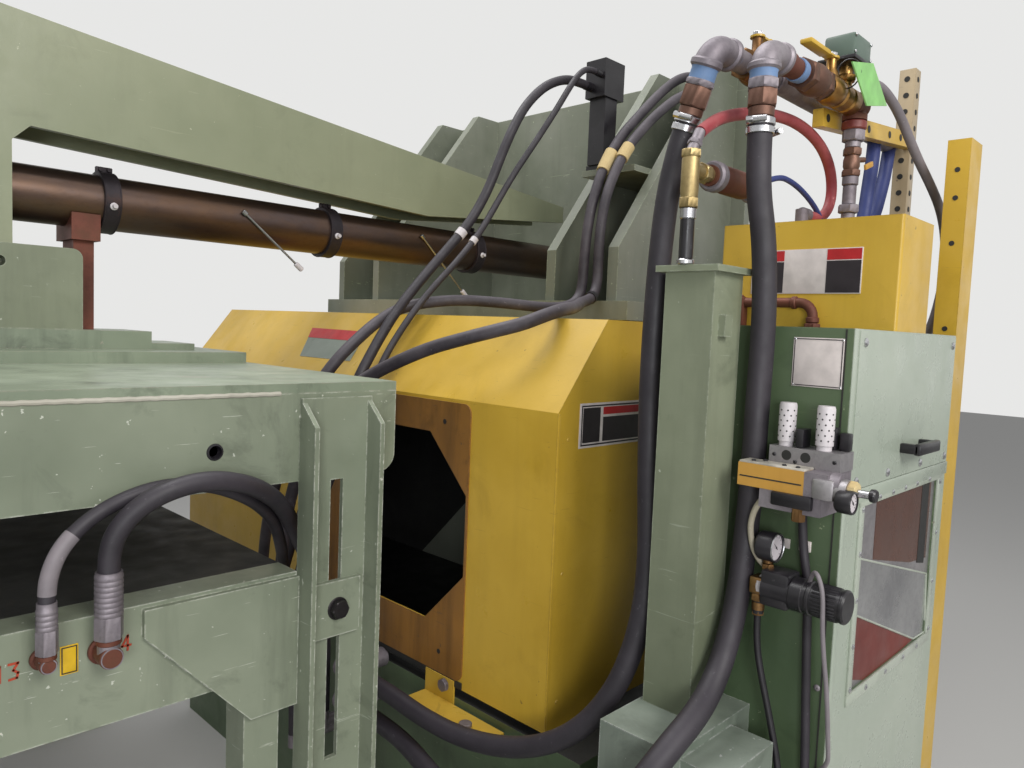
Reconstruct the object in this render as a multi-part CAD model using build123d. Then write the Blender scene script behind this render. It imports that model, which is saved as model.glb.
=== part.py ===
from build123d import *
import math
import os

# Blow molding machine seen from its service side, in millimetres.
# +X runs along the extruder barrel towards the head wall, +Y runs from the service
# side to the far side, +Z is up, and the floor under the middle of the machine is the origin.

# Extruder barrel
BARREL_Y = 430
BARREL_Z = 1895
BARREL_R = 73
BARREL_X0 = -1660
MACHINE_X0 = -2450
BARREL_CLEARANCE = 2
BAND_GROWTH = 9
BAND_WIDTH = 42
BAND_STATIONS = (-512, 181, 841)

# Extruder frame
FRAME_X0 = -2300
FRAME_X1 = -188
FRAME_HALF_WIDTH = 910
DECK_TOP = 1470
DECK_T = 20
BEAM_H = 182
LOWER_BEAM_TOP = 1080
LOWER_BEAM_H = 202
FLANGE_W = 75
WEB_T = 12
BEAM_END_R = 40
CABLE_HOLE = (-607, 1344)
CABLE_HOLE_R = 13
SHELF_T = 8
LEG = 150
FOOT = 240
FOOT_T = 20
ANCHOR_SPACING = 190
ANCHOR_R = 11
REAR_LEG_X = -2200
INNER_LEG_X0 = -540
INNER_LEG = 76
POST_X0 = -430
POST_W = 170
POST_DEPTH = 60
POST_T = 11
POST_TOP = 1440
POST_CHAMFER = 55
SLOT_W = 30
SLOT_TOP = 1265
SLOT_BOTTOM = 650
CLAMP_W = 112
CLAMP_H = 120
CLAMP_T = 14
CLAMP_Z = 988
BOLT_R = 20
BOLT_HEAD_T = 15
GUSSET_X0 = -737
GUSSET_T = 12
GUSSET_LOW = 800

# Slabs, pads and saddle between deck and barrel
SLAB_T = 30
SLAB_HALF = 237
SLAB_X1 = -210
RAIL_T = 50
RAIL_HALF = 110
RAIL_X1 = -423
SLAB_INSET = 60
TONGUE_X1 = -304
TONGUE_T = 18
PAD_X0 = -1200
PAD_X1 = -596
PAD_T = 40
PAD_TOP = 1757
PAD_CORNER_R = 25
PAD_HOLE_R = 13
PAD_HOLE = (184, 44)
SADDLE_X = -575
SADDLE_T = 50
CRADLE_HALF = 66
CRADLE_DROP = 110

# Overhead arm that straddles the barrel
ARM_HALF = 100
ARM_T = 20
ARM_LEG_X0 = -1180
ARM_LEG_X1 = -750
ARM_TIP_X = 1290
ARM_TOP_LEFT = 2353
ARM_TOP_TIP = 2125
ARM_TIP_LOW = 2060
ARM_KNEE_X = 548
ARM_KNEE_Z = 1992
ARM_MOUTH_Z = 2047

# Head wall with its ribs
WALL_X = 1455
WALL_T = 40
WALL_HALF = 860
WALL_LOW = 1700
WALL_TOP = 2610
RIB_T = 40
RIB_FRONT_X = 763
RIB_KNEE_Z = 1874
RIB_TOP_X = 1322
RIB_INNER = 514
RIB_OUTER = 780
CROSS_PLATE_Z = 2140
CROSS_PLATE_T = 20
CROSS_PLATE_X0 = 882
STACK_X0 = 850
STACK_X1 = 965
STACK_Y = -165
STACK_H = 365
STACK_FOOT_T = 16
STACK_HEAD_H = 125
STACK_MOUTH_X = 826
STACK_PORTS = ((-148, 89, 16), (-190, 53, 12))
WALL_PORT_X = 1415
WALL_PORT_R = 22
WALL_PORTS = ((-262, 2570), (-305, 2500))
SILL_T = 60
SILL_X1 = 1525
PEDESTAL_X0 = 800

# Side guard
GUARD_X0 = 50
GUARD_RIDGE_X = 215
GUARD_X1 = 800
GUARD_Y0 = -762
GUARD_Y1 = 1170
GUARD_LOW = 671
GUARD_SHOULDER = 1414
GUARD_RIDGE = 1629
SHEET = 4
PANEL_Y0 = -478
PANEL_Y1 = 260
PANEL_LOW = 690
PANEL_TOP = 1405
PANEL_T = 4
OCTAGON_Y = -220
OCTAGON_Z = 1070
OCTAGON_R = 272

# Service column beside the guard
COLUMN_X0 = 0
COLUMN = 104
COLUMN_Y1 = -1056
CAP_OVERHANG = 14
CAP_T = 12
COLUMN_FOOT = 880
COLUMN_TOP = 1717
PLINTH_X0 = -122
PLINTH_RIM_Y = 46
PLINTH_STEP = 84
PLINTH_STEP_X1 = 80

# Service cabinet
CABINET_X0 = 150
CABINET_X1 = 770
CABINET_Y0 = -1356
CABINET_Y1 = -960
CABINET_LOW = 120
CABINET_TOP = 1624
CABINET_T = 4
WINDOW_X0 = 255
WINDOW_X1 = 710
WINDOW_LOW = 925
WINDOW_TOP = 1293
DOOR_LOW = 1330
DOOR_T = 4

# Yellow box and posts above the cabinet
BOX_X0 = 362
BOX_X1 = 550
BOX_Y1 = -967
BOX_TOP = 1853
END_POST = 90
END_POST_TOP = 2080
STRUT_POST_X = 1010
STRUT_POST_Y = -1143
STRUT_POST = 70
STRUT_POST_TOP = 2370

# Extruder drive at the far left of the barrel
GEARBOX_X0 = -2180
GEARBOX_X1 = -1660
GEARBOX_HALF = 260
GEARBOX_TOP = 2240
JOINT_RIM = 15
MOTOR_R = 150
MOTOR_Z = 2060
MOTOR_FLANGE_T = 20
COWL = 70
HOPPER_X = -1420
HOPPER_R = 250
HOPPER_TOP = 2600
SPOUT_R = 70
THROAT_WALL = 37
THROAT_ABOVE = 130

# Mould clamp beyond the head wall
PLATEN_T = 90
PLATEN_HALF = 560
PLATEN_LOW = 620
PLATEN_TOP = 1560
PLATEN_STATIONS = (1640, 1960, 2330)
TIE_BAR_R = 38
TIE_BAR_FIT = 1
TIE_BAR_END = 40
TIE_BAR_HALF = 440
TIE_BAR_IN = 120
CLAMP_BED_TOP = 560
CLAMP_BED_HALF = 620
MACHINE_X1 = 2450
DIE_REACH = 420
DIE_HALF = 180
DIE_R = 80
DIE_DROP = 160
DIE_BELOW = 95
DIE_ABOVE = 165

# Water pipework
PIPE_R = 24
ELBOW_R = 33
ELBOW_SWEEP = 50
LEFT_PIPE_Y = -1095
LEFT_PIPE_Z = 2140
LEFT_DROP_X = 55
RIGHT_PIPE_Y = -1180
RIGHT_PIPE_Z = 2125
RIGHT_DROP_X = 96
UNION_R = 32
UNION_END = 140
LEFT_TILT = 19
RAIL_BAR_X0 = 347
RAIL_BAR_T = 6
RAIL_BAR_LOW = 2042
RAIL_BAR_H = 46
DROP_R = 30.7
DROP_X = 524

# Ball valves and their quarter-turn levers
LEFT_VALVE_X = 225
RIGHT_VALVE_X = 388
VALVE_R = 37
VALVE_LENGTH = 104
STEM_R = 5
LEVER_GAP = 0.3
LEVER_BORE_GAP = 0.05
LEVER_T = 4
LEVER_W = 22
LEVER_LENGTH = 128

# Strainer above the column
STRAINER_X0 = 47
STRAINER_X1 = 250
STRAINER_Y = -1100
STRAINER_Z = 1905
STRAINER_R = 36
TEE_X = -5
RISER_R = 13
TEE_FITTING = 34

# Air equipment on the cabinet's side
AIR_X = 150
MANIFOLD_X0 = 92
MANIFOLD_LOW = 1373
MANIFOLD_TOP = 1406
VALVE_X0 = 50
VALVE_X1 = 88
VALVE_LOW = 1331
REGULATOR_X = 96
REGULATOR_Y0 = -1398
REGULATOR_Y1 = -1230
REGULATOR_Z = 1142
REGULATOR_R = 29
REGULATOR_ELBOW_Y = -1236

# Hydraulic ports on the lower beam
PORT_REACH = 35
PORT_HEX = 40
PORTS = (
    (-897, 1028, 1046, 1131, 12, 14.5),
    (-804, 1017, 1048, 1163, 18, 21),
)

# Closed base under the guard, with the elbows that take the two water hoses
BASE_TOP = 645
BASE_Y0 = -870
BASE_Y1 = 1150
ELBOW_X = -70
ELBOW_MOUTH_Y = -190
ELBOW_BODY_R = 27
ELBOW_HEIGHTS = (650, 556)
UPRIGHT_ELBOWS = (
    (-42, 18, 460, 18),
    (-92, 100, 370, 13),
    (-60, 370, 520, 19),
    (-104, 172, 610, 19),
    (-46, 296, 540, 17),
    (-44, 240, 536, 12),
)
BOX_ELBOW = (440, -1114, 1880)
BOX_ELBOW_REACH = 26
CABINET_ELBOW = (97, -1303, 430)

# Hoses: outer diameter and the points that each one follows
HOSE_ARC_SHARE = 0.45
TILT = math.radians(LEFT_TILT)
LEFT_HOSE_Y = LEFT_PIPE_Y + UNION_END * math.sin(TILT)
LEFT_HOSE_Z = LEFT_PIPE_Z - UNION_END * math.cos(TILT)
HOSES = {
    "left_water_hose": (46, [
        (55, LEFT_HOSE_Y, LEFT_HOSE_Z),
        (55, LEFT_HOSE_Y + 90 * math.sin(TILT), LEFT_HOSE_Z - 90 * math.cos(TILT)),
        (51, -1006, 1770),
        (50, -1000, 1530),
        (50, -1008, 1310),
        (44, -1026, 1130),
        (26, -1020, 985),
        (-6, -985, 858),
        (-32, -905, 752),
        (-52, -780, 680),
        (-66, -620, 642),
        (-73, -470, 640),
        (-70, -330, 650),
        (-70, -190, 650),
    ]),
    "right_water_hose": (46, [
        (96, -1180, 1985),
        (96, -1180, 1890),
        (107, -1197, 1780),
        (114, -1203, 1640),
        (115, -1200, 1490),
        (114, -1199, 1340),
        (109, -1196, 1215),
        (94, -1195, 1100),
        (54, -1196, 1007),
        (-6, -1203, 952),
        (-74, -1211, 928),
        (-140, -1206, 898),
        (-196, -1190, 848),
        (-232, -1148, 770),
        (-240, -1080, 690),
        (-228, -970, 625),
        (-195, -840, 580),
        (-152, -690, 556),
        (-110, -552, 550),
        (-78, -420, 553),
        (-70, -300, 556),
        (-70, -190, 556),
    ]),
    "port_14_hose": (36, [
        (-804, -515, 1163),
        (-804, -515, 1193),
        (-796, -521, 1227),
        (-776, -529, 1258),
        (-745, -537, 1283),
        (-703, -542, 1299),
        (-654, -542, 1305),
        (-602, -534, 1298),
        (-548, -521, 1279),
        (-498, -497, 1249),
        (-452, -456, 1214),
        (-405, -412, 1164),
        (-345, -358, 1090),
        (-275, -300, 1005),
        (-212, -226, 915),
        (-156, -148, 826),
        (-106, -78, 730),
        (-66, -20, 634),
        (-42, 18, 540),
        (-42, 18, 460),
    ]),
    "port_13_hose": (26, [
        (-897, -515, 1131),
        (-897, -515, 1157),
        (-889, -514, 1189),
        (-874, -511, 1217),
        (-848, -507, 1243),
        (-812, -503, 1266),
        (-768, -501, 1284),
        (-720, -500, 1294),
        (-670, -499, 1294),
        (-620, -499, 1285),
        (-574, -496, 1266),
        (-528, -476, 1240),
        (-484, -446, 1208),
        (-438, -402, 1166),
        (-390, -342, 1100),
        (-336, -264, 1005),
        (-284, -180, 908),
        (-234, -96, 814),
        (-184, -18, 720),
        (-138, 46, 622),
        (-104, 88, 524),
        (-92, 100, 440),
        (-92, 100, 370),
    ]),
    "upper_guard_hose": (34, [
        (1415, -262, 2570),
        (1322, -262, 2570),
        (1222, -262, 2538),
        (1108, -262, 2458),
        (993, -262, 2357),
        (880, -262, 2254),
        (800, -262, 2140),
        (754, -262, 2030),
        (732, -262, 1927),
        (724, -262, 1832),
        (722, -262, 1756),
        (712, -261, 1712),
        (678, -260, 1684),
        (620, -257, 1671),
        (540, -244, 1668),
        (440, -190, 1676),
        (332, -112, 1680),
        (240, -62, 1668),
        (165, -29, 1648),
        (95, -12, 1606),
        (31, -4, 1552),
        (-28, 4, 1496),
        (-72, 22, 1430),
        (-98, 62, 1350),
        (-108, 118, 1258),
        (-106, 180, 1160),
        (-98, 240, 1055),
        (-86, 294, 945),
        (-72, 336, 830),
        (-62, 362, 715),
        (-60, 370, 610),
        (-60, 370, 520),
    ]),
    "lower_guard_hose": (34, [
        (1415, -305, 2500),
        (1330, -305, 2500),
        (1240, -305, 2482),
        (1148, -305, 2440),
        (1068, -305, 2386),
        (975, -305, 2314),
        (872, -305, 2218),
        (806, -305, 2122),
        (764, -305, 2030),
        (746, -305, 1928),
        (744, -305, 1838),
        (744, -306, 1770),
        (727, -312, 1726),
        (690, -322, 1702),
        (632, -342, 1691),
        (564, -386, 1684),
        (490, -440, 1674),
        (400, -502, 1665),
        (310, -562, 1657),
        (225, -610, 1652),
        (150, -618, 1634),
        (92, -598, 1610),
        (42, -548, 1590),
        (4, -482, 1568),
        (-24, -416, 1547),
        (-42, -356, 1524),
        (-58, -290, 1496),
        (-72, -220, 1464),
        (-86, -146, 1420),
        (-98, -70, 1362),
        (-106, -4, 1290),
        (-110, 50, 1205),
        (-111, 96, 1110),
        (-110, 132, 1010),
        (-108, 156, 905),
        (-106, 168, 800),
        (-104, 172, 700),
        (-104, 172, 610),
    ]),
    "arch_hose": (30, [
        (826, -148, 2436),
        (784, -148, 2436),
        (735, -148, 2431),
        (684, -147, 2414),
        (632, -145, 2386),
        (584, -143, 2346),
        (538, -140, 2294),
        (500, -138, 2232),
        (473, -130, 2168),
        (450, -122, 2104),
        (428, -114, 2040),
        (400, -106, 1980),
        (368, -98, 1925),
        (330, -88, 1874),
        (284, -78, 1820),
        (236, -70, 1766),
        (192, -65, 1716),
        (153, -62, 1672),
        (112, -61, 1622),
        (73, -62, 1568),
        (36, -64, 1512),
        (0, -66, 1454),
        (-22, -52, 1390),
        (-32, -18, 1322),
        (-34, 30, 1246),
        (-34, 82, 1165),
        (-34, 136, 1080),
        (-34, 187, 990),
        (-36, 232, 896),
        (-40, 268, 797),
        (-44, 290, 700),
        (-46, 296, 610),
        (-46, 296, 540),
    ]),
    "thin_arch_hose": (20, [
        (826, -190, 2472),
        (796, -190, 2472),
        (762, -191, 2460),
        (726, -191, 2428),
        (692, -188, 2380),
        (652, -182, 2316),
        (604, -172, 2242),
        (556, -160, 2168),
        (506, -148, 2094),
        (461, -139, 2020),
        (421, -134, 1954),
        (378, -134, 1892),
        (328, -130, 1832),
        (276, -123, 1774),
        (224, -114, 1720),
        (176, -108, 1666),
        (134, -104, 1614),
        (94, -102, 1560),
        (56, -102, 1504),
        (24, -102, 1440),
        (-2, -84, 1374),
        (-16, -60, 1308),
        (-22, -24, 1236),
        (-24, 20, 1158),
        (-26, 69, 1076),
        (-28, 118, 988),
        (-31, 164, 894),
        (-35, 202, 794),
        (-40, 230, 698),
        (-44, 240, 606),
        (-44, 240, 536),
    ]),
    "red_hose": (24, [
        (18, -1102, 1974),
        (54, -1103, 1999),
        (98, -1104, 2019),
        (160, -1106, 2038),
        (232, -1109, 2054),
        (310, -1112, 2065),
        (388, -1114, 2067),
        (466, -1115, 2057),
        (530, -1116, 2034),
        (577, -1116, 1994),
        (590, -1116, 1942),
        (567, -1116, 1898),
        (520, -1114, 1880),
        (466, -1114, 1880),
    ]),
    "regulator_hose": (13, [
        (96, -1236, 1087),
        (96, -1236, 1058),
        (97, -1240, 1012),
        (98, -1251, 966),
        (99, -1264, 920),
        (99, -1278, 870),
        (99, -1292, 815),
        (98, -1302, 752),
        (97, -1306, 684),
        (97, -1306, 610),
        (97, -1304, 540),
        (97, -1303, 484),
        (97, -1303, 430),
    ]),
}

NEAR_FACE = BARREL_Y - FRAME_HALF_WIDTH
PIECES = {}


def piece(name):
    """Register a function that builds the sub-part of that name."""
    def keep(build):
        PIECES[name] = build
        return build
    return keep


def block(x0, x1, y0, y1, z0, z1):
    """Box between two corners."""
    return Pos((x0 + x1) / 2, (y0 + y1) / 2, (z0 + z1) / 2) * Box(x1 - x0, y1 - y0, z1 - z0)


def rod(start, end, radius):
    """Round bar from one point to another."""
    a = Vector(*start)
    b = Vector(*end)
    plane = Plane(origin=a, z_dir=b - a)
    return plane * Cylinder(radius, (b - a).length, align=(Align.CENTER, Align.CENTER, Align.MIN))


def pipe(start, end, outer, inner):
    """Round tube from one point to another."""
    return rod(start, end, outer) - rod(start, end, inner)


def plate_xz(points, y0, y1):
    """Flat plate with an outline in X and Z, between two Y values."""
    face = Plane(origin=(0, y0, 0), x_dir=(1, 0, 0), z_dir=(0, -1, 0)) * make_face(
        Polyline(*points, close=True).edges())
    return extrude(face, amount=y1 - y0, dir=(0, 1, 0))


def plate_yz(points, x0, x1):
    """Flat plate with an outline in Y and Z, between two X values."""
    face = Plane(origin=(x0, 0, 0), x_dir=(0, 1, 0), z_dir=(1, 0, 0)) * make_face(
        Polyline(*points, close=True).edges())
    return extrude(face, amount=x1 - x0, dir=(1, 0, 0))


def mirror_side(shape):
    """Same piece on the other side of the barrel's plane."""
    return mirror(shape, about=Plane(origin=(0, BARREL_Y, 0), x_dir=(1, 0, 0), z_dir=(0, 1, 0)))


# Extruder frame

DECK_LOW = DECK_TOP - DECK_T
BEAM_LOW = DECK_LOW - BEAM_H
LOWER_BEAM_LOW = LOWER_BEAM_TOP - LOWER_BEAM_H
POST_X1 = POST_X0 + POST_W


def channel(x0, x1, z0, z1):
    """Channel section on its web, flanges turned inwards."""
    web = block(x0, x1, NEAR_FACE, NEAR_FACE + WEB_T, z0, z1)
    top = block(x0, x1, NEAR_FACE + WEB_T, NEAR_FACE + FLANGE_W, z1 - WEB_T, z1)
    low = block(x0, x1, NEAR_FACE + WEB_T, NEAR_FACE + FLANGE_W, z0, z0 + WEB_T)
    return web + top + low


def upper_beam():
    """Upper side beam with a rounded lower corner at its free end."""
    beam = channel(FRAME_X0, FRAME_X1 - BEAM_END_R, BEAM_LOW, DECK_LOW)
    end = block(FRAME_X1 - BEAM_END_R, FRAME_X1, NEAR_FACE, NEAR_FACE + WEB_T, BEAM_LOW, DECK_LOW)
    corner = end.edges().filter_by(Axis.Y).sort_by(Axis.Z)[:2].sort_by(Axis.X)[-1]
    beam += fillet(corner, BEAM_END_R - 1)
    x, z = CABLE_HOLE
    return beam - rod((x, NEAR_FACE - 5, z), (x, NEAR_FACE + WEB_T + 5, z), CABLE_HOLE_R)


def lower_beam():
    """Lower side beam with the raised gusset that meets the slotted post."""
    beam = channel(FRAME_X0, POST_X0, LOWER_BEAM_LOW, LOWER_BEAM_TOP)
    gusset = plate_xz([
        (GUSSET_X0, LOWER_BEAM_TOP - 8),
        (POST_X0, LOWER_BEAM_TOP - 8),
        (POST_X0, GUSSET_LOW),
        (-532, GUSSET_LOW),
        (GUSSET_X0, 1021),
    ], NEAR_FACE - GUSSET_T, NEAR_FACE)
    return beam + gusset


def slotted_post():
    """Upright of folded channel with chamfered flange tops and a long slot in its web."""
    front = NEAR_FACE - POST_DEPTH
    web = block(POST_X0, POST_X1, NEAR_FACE - POST_T, NEAR_FACE, FOOT_T, POST_TOP)
    profile = [
        (front, FOOT_T),
        (NEAR_FACE, FOOT_T),
        (NEAR_FACE, POST_TOP),
        (front, POST_TOP - POST_CHAMFER),
    ]
    post = web + plate_yz(profile, POST_X0, POST_X0 + POST_T)
    post += plate_yz(profile, POST_X1 - POST_T, POST_X1)
    middle = (POST_X0 + POST_X1) / 2
    slot = block(middle - SLOT_W / 2, middle + SLOT_W / 2, NEAR_FACE - 40, NEAR_FACE + 5,
                 SLOT_BOTTOM, SLOT_TOP)
    foot = block(POST_X0 - 30, POST_X1 + 30, front, NEAR_FACE + 120, 0, FOOT_T)
    return post - slot + foot


def slot_clamp():
    """Square washer plate and hexagon bolt that grip the slotted post."""
    middle = (POST_X0 + POST_X1) / 2
    back = NEAR_FACE - POST_T
    plate = block(middle - CLAMP_W / 2, middle + CLAMP_W / 2, back - CLAMP_T, back,
                  CLAMP_Z - CLAMP_H / 2, CLAMP_Z + CLAMP_H / 2)
    face = Plane(origin=(middle, back - CLAMP_T, CLAMP_Z), x_dir=(1, 0, 0), z_dir=(0, -1, 0))
    head = extrude(face * RegularPolygon(BOLT_R, 6), amount=BOLT_HEAD_T)
    return plate + head


def rear_leg():
    """Square leg under the driven end of the frame, on a foot plate."""
    tube = block(REAR_LEG_X - LEG / 2, REAR_LEG_X + LEG / 2, NEAR_FACE + FLANGE_W,
                 NEAR_FACE + FLANGE_W + LEG, FOOT_T, DECK_LOW)
    y = NEAR_FACE + FLANGE_W + LEG / 2
    foot = block(REAR_LEG_X - FOOT / 2, REAR_LEG_X + FOOT / 2, y - FOOT / 2, y + FOOT / 2, 0, FOOT_T)
    for dx in (-ANCHOR_SPACING / 2, ANCHOR_SPACING / 2):
        for dy in (-ANCHOR_SPACING / 2, ANCHOR_SPACING / 2):
            foot -= rod((REAR_LEG_X + dx, y + dy, -5), (REAR_LEG_X + dx, y + dy, FOOT_T + 5), ANCHOR_R)
    return tube + foot


def inner_leg():
    """Slim leg under the lower beam, just behind the gusset."""
    y0 = NEAR_FACE + 2
    return block(INNER_LEG_X0, INNER_LEG_X0 + INNER_LEG, y0, y0 + INNER_LEG, 0, LOWER_BEAM_LOW)


@piece("lower_deck")
def lower_deck():
    """Plate between the two lower beams, flush with their tops."""
    y0 = NEAR_FACE + FLANGE_W
    return block(REAR_LEG_X + LEG / 2, POST_X0, y0, 2 * BARREL_Y - y0, LOWER_BEAM_TOP - SHELF_T, LOWER_BEAM_TOP)


@piece("deck_plate")
def deck_plate():
    return block(FRAME_X0, FRAME_X1, NEAR_FACE, 2 * BARREL_Y - NEAR_FACE, DECK_LOW, DECK_TOP)


# Slabs, pad, saddle and barrel

SLAB_TOP = DECK_TOP + SLAB_T
RAIL_TOP = SLAB_TOP + RAIL_T


@piece("deck_slabs")
def deck_slabs():
    """Wide slab on the deck, with the slide slab and its thin tongue on top."""
    wide = block(FRAME_X0 + SLAB_INSET, SLAB_X1, BARREL_Y - SLAB_HALF, BARREL_Y + SLAB_HALF, DECK_TOP, SLAB_TOP)
    slide = block(FRAME_X0 + SLAB_INSET, RAIL_X1, BARREL_Y - RAIL_HALF, BARREL_Y + RAIL_HALF, SLAB_TOP, RAIL_TOP)
    tongue = block(RAIL_X1, TONGUE_X1, BARREL_Y - RAIL_HALF, BARREL_Y + RAIL_HALF, SLAB_TOP, SLAB_TOP + TONGUE_T)
    return wide + slide + tongue


@piece("arm_pads")
def arm_pads():
    """Upright pads that carry the arm, each with a lifting hole near its upper corner."""
    y0 = BARREL_Y - RAIL_HALF
    pad = block(PAD_X0, PAD_X1, y0, y0 + PAD_T, RAIL_TOP, PAD_TOP)
    pad = fillet(pad.edges().filter_by(Axis.Y).group_by(Axis.Z)[-1], PAD_CORNER_R)
    x = PAD_X1 - PAD_HOLE[0]
    z = PAD_TOP - PAD_HOLE[1]
    return both_sides(pad - rod((x, y0 - 5, z), (x, y0 + PAD_T + 5, z), PAD_HOLE_R))


@piece("barrel_saddle")
def barrel_saddle():
    x0 = SADDLE_X - SADDLE_T / 2
    x1 = SADDLE_X + SADDLE_T / 2
    post = block(x0, x1, BARREL_Y - 45, BARREL_Y + 45, RAIL_TOP, BARREL_Z - 40)
    cradle = block(x0 - 10, x1 + 10, BARREL_Y - CRADLE_HALF, BARREL_Y + CRADLE_HALF, BARREL_Z - CRADLE_DROP,
                   BARREL_Z - 40)
    bore = rod((x0 - 30, BARREL_Y, BARREL_Z), (x1 + 30, BARREL_Y, BARREL_Z), BARREL_R)
    return post + cradle - bore


@piece("extruder_barrel")
def extruder_barrel():
    return rod((BARREL_X0, BARREL_Y, BARREL_Z), (WALL_X + WALL_T, BARREL_Y, BARREL_Z), BARREL_R)


@piece("barrel_bands")
def barrel_bands():
    bands = []
    for x in BAND_STATIONS:
        ring = pipe((x - BAND_WIDTH / 2, BARREL_Y, BARREL_Z), (x + BAND_WIDTH / 2, BARREL_Y, BARREL_Z),
                    BARREL_R + BAND_GROWTH, BARREL_R)
        bands.append(ring)
    return Compound(bands)


@piece("overhead_arm")
def overhead_arm():
    outline = [
        (ARM_LEG_X0, PAD_TOP),
        (ARM_LEG_X1, PAD_TOP),
        (ARM_LEG_X1, ARM_MOUTH_Z - 40),
        (ARM_LEG_X1 + 40, ARM_MOUTH_Z),
        (-175, 2025),
        (ARM_KNEE_X, ARM_KNEE_Z),
        (ARM_TIP_X, ARM_TIP_LOW),
        (ARM_TIP_X, ARM_TOP_TIP),
        (ARM_LEG_X0 + 60, ARM_TOP_LEFT),
        (ARM_LEG_X0, ARM_TOP_LEFT - 60),
    ]
    near = plate_xz(outline, BARREL_Y - ARM_HALF, BARREL_Y - ARM_HALF + ARM_T)
    far = plate_xz(outline, BARREL_Y + ARM_HALF - ARM_T, BARREL_Y + ARM_HALF)
    roof = plate_xz([
        (ARM_TIP_X, ARM_TOP_TIP),
        (ARM_LEG_X0 + 60, ARM_TOP_LEFT),
        (ARM_LEG_X0 + 60, ARM_TOP_LEFT - ARM_T),
        (ARM_TIP_X, ARM_TOP_TIP - ARM_T),
    ], BARREL_Y - ARM_HALF + ARM_T, BARREL_Y + ARM_HALF - ARM_T)
    return near + far + roof


# Extruder drive

@piece("gearbox")
def gearbox():
    y0 = BARREL_Y - GEARBOX_HALF
    y1 = BARREL_Y + GEARBOX_HALF
    case = block(GEARBOX_X0, GEARBOX_X1, y0, y1, RAIL_TOP, GEARBOX_TOP)
    case = fillet(case.edges().filter_by(Axis.Z), 30)
    joint = block(GEARBOX_X0 - JOINT_RIM, GEARBOX_X1, y0 - JOINT_RIM, y1 + JOINT_RIM,
                  BARREL_Z - JOINT_RIM, BARREL_Z + JOINT_RIM)
    hub = rod((MACHINE_X0 + 250, BARREL_Y, MOTOR_Z), (GEARBOX_X0, BARREL_Y, MOTOR_Z), MOTOR_R - 20)
    hub &= block(GEARBOX_X0 - JOINT_RIM, GEARBOX_X0, y0, y1, RAIL_TOP, GEARBOX_TOP)
    return case + joint + hub


@piece("drive_motor")
def drive_motor():
    """Flange-mounted motor with a smaller fan cowl at its free end."""
    x1 = GEARBOX_X0 - JOINT_RIM
    cowl = rod((MACHINE_X0, BARREL_Y, MOTOR_Z), (MACHINE_X0 + COWL, BARREL_Y, MOTOR_Z), MOTOR_R - 8)
    body = rod((MACHINE_X0 + COWL, BARREL_Y, MOTOR_Z), (x1 - MOTOR_FLANGE_T, BARREL_Y, MOTOR_Z), MOTOR_R)
    flange = rod((x1 - MOTOR_FLANGE_T, BARREL_Y, MOTOR_Z), (x1, BARREL_Y, MOTOR_Z), MOTOR_R + 25)
    return cowl + body + flange


def feed_throat():
    """Block around the barrel that the hopper stands on."""
    half = BARREL_R + THROAT_WALL
    ring = block(HOPPER_X - half, HOPPER_X + half, BARREL_Y - half, BARREL_Y + half,
                 BARREL_Z - half, BARREL_Z + THROAT_ABOVE)
    return ring - rod((HOPPER_X - half - 5, BARREL_Y, BARREL_Z), (HOPPER_X + half + 5, BARREL_Y, BARREL_Z), BARREL_R)


@piece("feed_hopper")
def feed_hopper():
    """Round hopper: spout, cone and drum turned from one outline, on the feed throat."""
    low = BARREL_Z + THROAT_ABOVE
    height = HOPPER_TOP - low
    outline = [
        (0, low),
        (SPOUT_R, low),
        (SPOUT_R, low + 0.1 * height),
        (HOPPER_R, low + 0.55 * height),
        (HOPPER_R, HOPPER_TOP),
        (0, HOPPER_TOP),
    ]
    face = Plane(origin=(HOPPER_X, BARREL_Y, 0), x_dir=(1, 0, 0), z_dir=(0, -1, 0)) * make_face(
        Polyline(*outline, close=True).edges())
    turned = revolve(face, axis=Axis((HOPPER_X, BARREL_Y, 0), (0, 0, 1)))
    return feed_throat() + turned


# Head wall

@piece("head_wall")
def head_wall():
    wall = block(WALL_X, WALL_X + WALL_T, BARREL_Y - WALL_HALF, BARREL_Y + WALL_HALF, WALL_LOW, WALL_TOP)
    wall -= rod((WALL_X - 5, BARREL_Y, BARREL_Z), (WALL_X + WALL_T + 5, BARREL_Y, BARREL_Z),
                BARREL_R + BARREL_CLEARANCE)
    for y, z in WALL_PORTS:
        wall += rod((WALL_PORT_X, y, z), (WALL_X, y, z), WALL_PORT_R)
    return wall


def rib(offset):
    """Triangular rib at one distance from the barrel's plane."""
    outline = [
        (RIB_FRONT_X, WALL_LOW),
        (WALL_X, WALL_LOW),
        (WALL_X, WALL_TOP),
        (RIB_TOP_X, WALL_TOP),
        (RIB_FRONT_X, RIB_KNEE_Z),
    ]
    return plate_xz(outline, BARREL_Y + offset - RIB_T / 2, BARREL_Y + offset + RIB_T / 2)


@piece("wall_ribs")
def wall_ribs():
    """Two ribs on each side, joined by a level plate."""
    plate = block(CROSS_PLATE_X0, WALL_X, BARREL_Y - RIB_OUTER + RIB_T / 2, BARREL_Y - RIB_INNER - RIB_T / 2,
                  CROSS_PLATE_Z, CROSS_PLATE_Z + CROSS_PLATE_T)
    return both_sides(rib(-RIB_OUTER) + rib(-RIB_INNER) + plate)


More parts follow.
